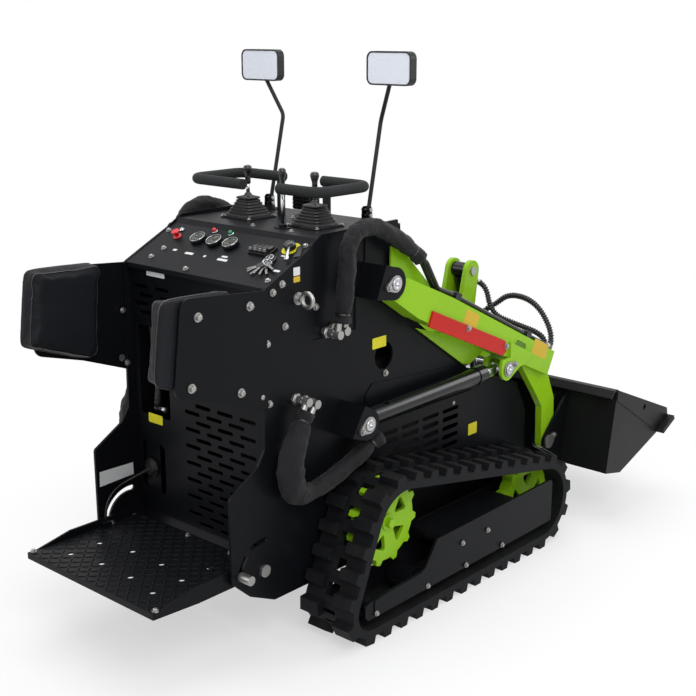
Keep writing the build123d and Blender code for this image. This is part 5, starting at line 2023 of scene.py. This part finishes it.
@dataclass
class PinCaps:
    """Domed ends, grease nipples and bolts on the keeper plates of the big pins."""

    palette: Palette
    bolt: Pattern
    pins: tuple[tuple[Body, float, float, float, float], ...] = (
        (Body.MACHINE, 218.0, 970.0, 377.0, 190.0),
        (Body.MACHINE, 110.0, 590.0, 377.0, 200.0),
        (Body.ARMS, 788.0, 604.0, 373.0, 20.0),
    )
    tip: float = 34.0

    def build(self) -> None:
        """Makes the caps and bolts, one piece of each for each body."""
        dome = [
            (16.5, 0), (17.6, 0.8), (17.6, 3.2), (16.0, 4.6), (10.0, 4.8), (8.4, 3.4), (4.6, 3.2),
            (4.2, 6.0), (2.6, 6.6), (2.2, 8.6), (0.2, 9.2),
        ]
        for body in (Body.MACHINE, Body.ARMS):
            former = Former(f"pin_caps_{body.value}")
            bolts = []
            for owner, x, z, y, angle in self.pins:
                if owner is not body:
                    continue
                a = math.radians(angle)
                for side in Side:
                    out = Vector((0, side.value, 0))
                    former.lathe(at(x, side.value * y, z), out, dome, 0, 32)
                    step_x, step_z = self.tip * math.cos(a), self.tip * math.sin(a)
                    spot = at(x + step_x, side.value * (y + 0.2), z + step_z)
                    bolts.append((spot, out, a, 1.0))
            former.piece(body, "zinc_steel", self.palette.rod)
            name = f"keeper_bolts_{body.value}"
            patterned(self.bolt, name, body, self.palette.zinc, bolts)


@dataclass
class DashCheeks:
    """Folded edges that close the dash against the body's sides."""

    palette: Palette
    upper: tuple[Pair, ...] = ((-192, 1010), (-120, 1046), (-68, 1071.5), (-27, 1091.5))
    lower: tuple[Pair, ...] = ((-27, 1088), (-68, 1046), (-120, 1031), (-192, 1004))

    def build(self) -> None:
        """Makes the edge on both sides."""
        former = Former("dash_cheeks")
        for side in Side:
            low, high = side.value * (WALL_INNER_Y + 0.2), side.value * (WALL_Y - 0.2)
            former.prism(self.upper + self.lower, side_view, low, high)
        former.piece(Body.MACHINE, "black_paint", self.palette.black, bevel=0.6)


@dataclass
class ArmTrim:
    """The pressed slot near each arm's front."""

    palette: Palette
    slot: Pair = (867.0, 665.0)

    def on_arm(self, outline: Sequence[Pair], side: Side, level: float) -> list[Vector]:
        """Places an outline about the slot's middle, so far off the arm's outer face.

        Args:
            outline: Corners in two numbers.
            side: The arm's side.
            level: The distance off its face.

        Returns:
            The points.
        """
        c, s = math.cos(math.radians(ARM_LEAN)), math.sin(math.radians(ARM_LEAN))
        x, z = self.slot
        y = side.value * (ARM_Y + level)
        return [at(x + a * c - b * s, y, z + a * s + b * c) for a, b in outline]

    def build(self) -> None:
        """Makes the slot's lip and its floor, a darker green sheet of painted shade, on both arms."""
        p = self.palette
        former = Former("arm_slots")
        lip, hole = rounded_box(74, 34, 13, 6), rounded_box(64, 25, 11, 6)
        rows = ((lip, 0.02), (lip, 1.4), (hole, 1.4), (hole, 0.02), (lip, 0.02))
        for side in Side:
            former.rings([self.on_arm(outline, side, level) for outline, level in rows], 0, False, True)
            # The floor is a darker green sheet: painted shade in the recess.
            former.rings([self.on_arm(hole, side, level) for level in (SKIN, 0.3)], 1, True, False)
        former.piece(Body.ARMS, "green_paint", p.green, p.green_painted_shade)


@dataclass
class Studio:
    """Pale floor, soft lamps and the camera at the photograph's angle."""

    eye: Place = (-2.7549, -2.4091, 1.6418)
    azimuth: float = -48.188
    drop: float = 14.932
    focal: float = 1192.3
    width: float = 696.0
    sensor: float = 36.0
    sky_strength: float = 0.38
    shade_reach: float = 1.0
    floor_glow: float = 0.55
    lamps: tuple[tuple[str, Place, Place, float, float], ...] = (
        ("key", (-2.2, -3.2, 3.4), (0.0, 0.0, 0.6), 2.4, 96.0),
        ("top", (0.3, 0.4, 4.2), (0.1, 0.0, 0.4), 3.2, 95.0),
        ("fill", (-3.4, 2.0, 2.0), (0.0, 0.0, 0.7), 2.2, 34.0),
        ("rim", (3.2, -2.2, 2.4), (0.2, 0.0, 0.5), 1.8, 40.0),
    )

    def camera(self) -> None:
        """Places the camera."""
        data = bpy.data.cameras.new("camera")
        data.sensor_width = self.sensor
        data.lens = self.focal / self.width * self.sensor
        data.clip_start, data.clip_end = 0.05, 60.0
        camera = linked("camera", data)
        a, e = math.radians(self.azimuth), math.radians(self.drop)
        ahead = Vector((-math.sin(a) * math.cos(e), math.cos(a) * math.cos(e), -math.sin(e)))
        camera.location = self.eye
        camera.rotation_mode = "QUATERNION"
        camera.rotation_quaternion = ahead.to_track_quat("-Z", "Y")
        bpy.context.scene.camera = camera

    def lamp(self, name: str, place: Place, target: Place, size: float, power: float) -> None:
        """Adds a square lamp that looks at a place.

        Args:
            name: Its name.
            place: Where it stands.
            target: Where it looks.
            size: Its side in metres.
            power: Its power in watts.
        """
        data = bpy.data.lights.new(name, "AREA")
        data.energy = power
        data.size = size
        lamp = linked(name, data)
        lamp.location = place
        lamp.rotation_mode = "QUATERNION"
        lamp.rotation_quaternion = (Vector(target) - Vector(place)).to_track_quat("-Z", "Y")

    @staticmethod
    def seen(shader: Shader) -> Signal:
        """One for rays from the camera, off metal and through glass, nought for the rest.

        Args:
            shader: The tree that it is added to.

        Returns:
            The signal.
        """
        path = shader.node("ShaderNodeLightPath", {}, {})
        names = ("Is Camera Ray", "Is Glossy Ray", "Is Transmission Ray")
        camera, glossy, through = (Signal(shader, path.outputs[name]) for name in names)
        return (camera + glossy + through).clamped()

    def sky(self) -> None:
        """A plain world, white to the camera and to reflections."""
        world = bpy.data.worlds.new("studio")
        bpy.context.scene.world = world
        shader = Shader(world)
        dim = {"Color": (0.95, 0.97, 1.0), "Strength": self.sky_strength}
        soft = shader.node("ShaderNodeBackground", {}, dim).outputs[0]
        full = {"Color": (1.0, 1.0, 1.0), "Strength": 1.0}
        white = shader.node("ShaderNodeBackground", {}, full).outputs[0]
        mix = shader.node("ShaderNodeMixShader", {}, {0: self.seen(shader), 1: soft, 2: white})
        shader.node("ShaderNodeOutputWorld", {}, {"Surface": mix.outputs[0]})

    def floor(self) -> None:
        """A wide pale floor that keeps the shadow near the machine and turns white further out."""
        former = Former("studio_floor")
        former.block((-9000, -9000, -20), (10000, 9000, 0))
        data = former.data()
        shader = Shader.of_material("studio floor")
        place = shader.place()
        x, y = shader.axis(place, "X"), shader.axis(place, "Y")
        reach = (x * x + y * y * 1.6).power(0.5)
        white = ((reach - self.shade_reach) * 1.4).clamped()
        factor = self.seen(shader) * (white * (1 - self.floor_glow) + self.floor_glow)
        dull = {"Base Color": (0.90, 0.90, 0.90), "Roughness": 0.9}
        matt = shader.node("ShaderNodeBsdfPrincipled", {}, dull).outputs[0]
        full = {"Color": (1.0, 1.0, 1.0), "Strength": 1.0}
        glow = shader.node("ShaderNodeEmission", {}, full).outputs[0]
        mix = shader.node("ShaderNodeMixShader", {}, {0: factor, 1: matt, 2: glow})
        shader.node("ShaderNodeOutputMaterial", {}, {"Surface": mix.outputs[0]})
        data.materials.append(shader.owner)
        floor = linked("studio_floor", data)

    def build(self) -> None:
        """Sets up the studio."""
        self.camera()
        self.sky()
        self.floor()
        for row in self.lamps:
            self.lamp(*row)
        bpy.context.scene.view_settings.view_transform = "Standard"
        log.info("studio: camera, world, floor and four lamps")


def main() -> None:
    """Builds and dresses every sub-assembly in order."""
    palette = Palette()
    Studio().build()
    PlainSteel(palette).dress()
    ThighPads(palette, stitches()).build()
    HoseSleeves(palette).build()
    dash = Dash(palette)
    dash.build()
    levers = Levers(palette)
    levers.build()
    Lookouts(palette).build()
    bolt = hex_bolts()
    Fasteners(palette, bolt).build(dash, levers)
    PinCaps(palette, bolt).build()
    TreadPlate(palette, tread_bars()).build()
    Stickers(palette).build()
    TiltHoses(palette, wrap_turns()).build()
    PlatformCable(palette).build()
    WindowHose(palette).build()
    HoseEnds(palette).build()
    DashCheeks(palette).build()
    ArmTrim(palette).build()


if __name__ == "__main__":
    main()
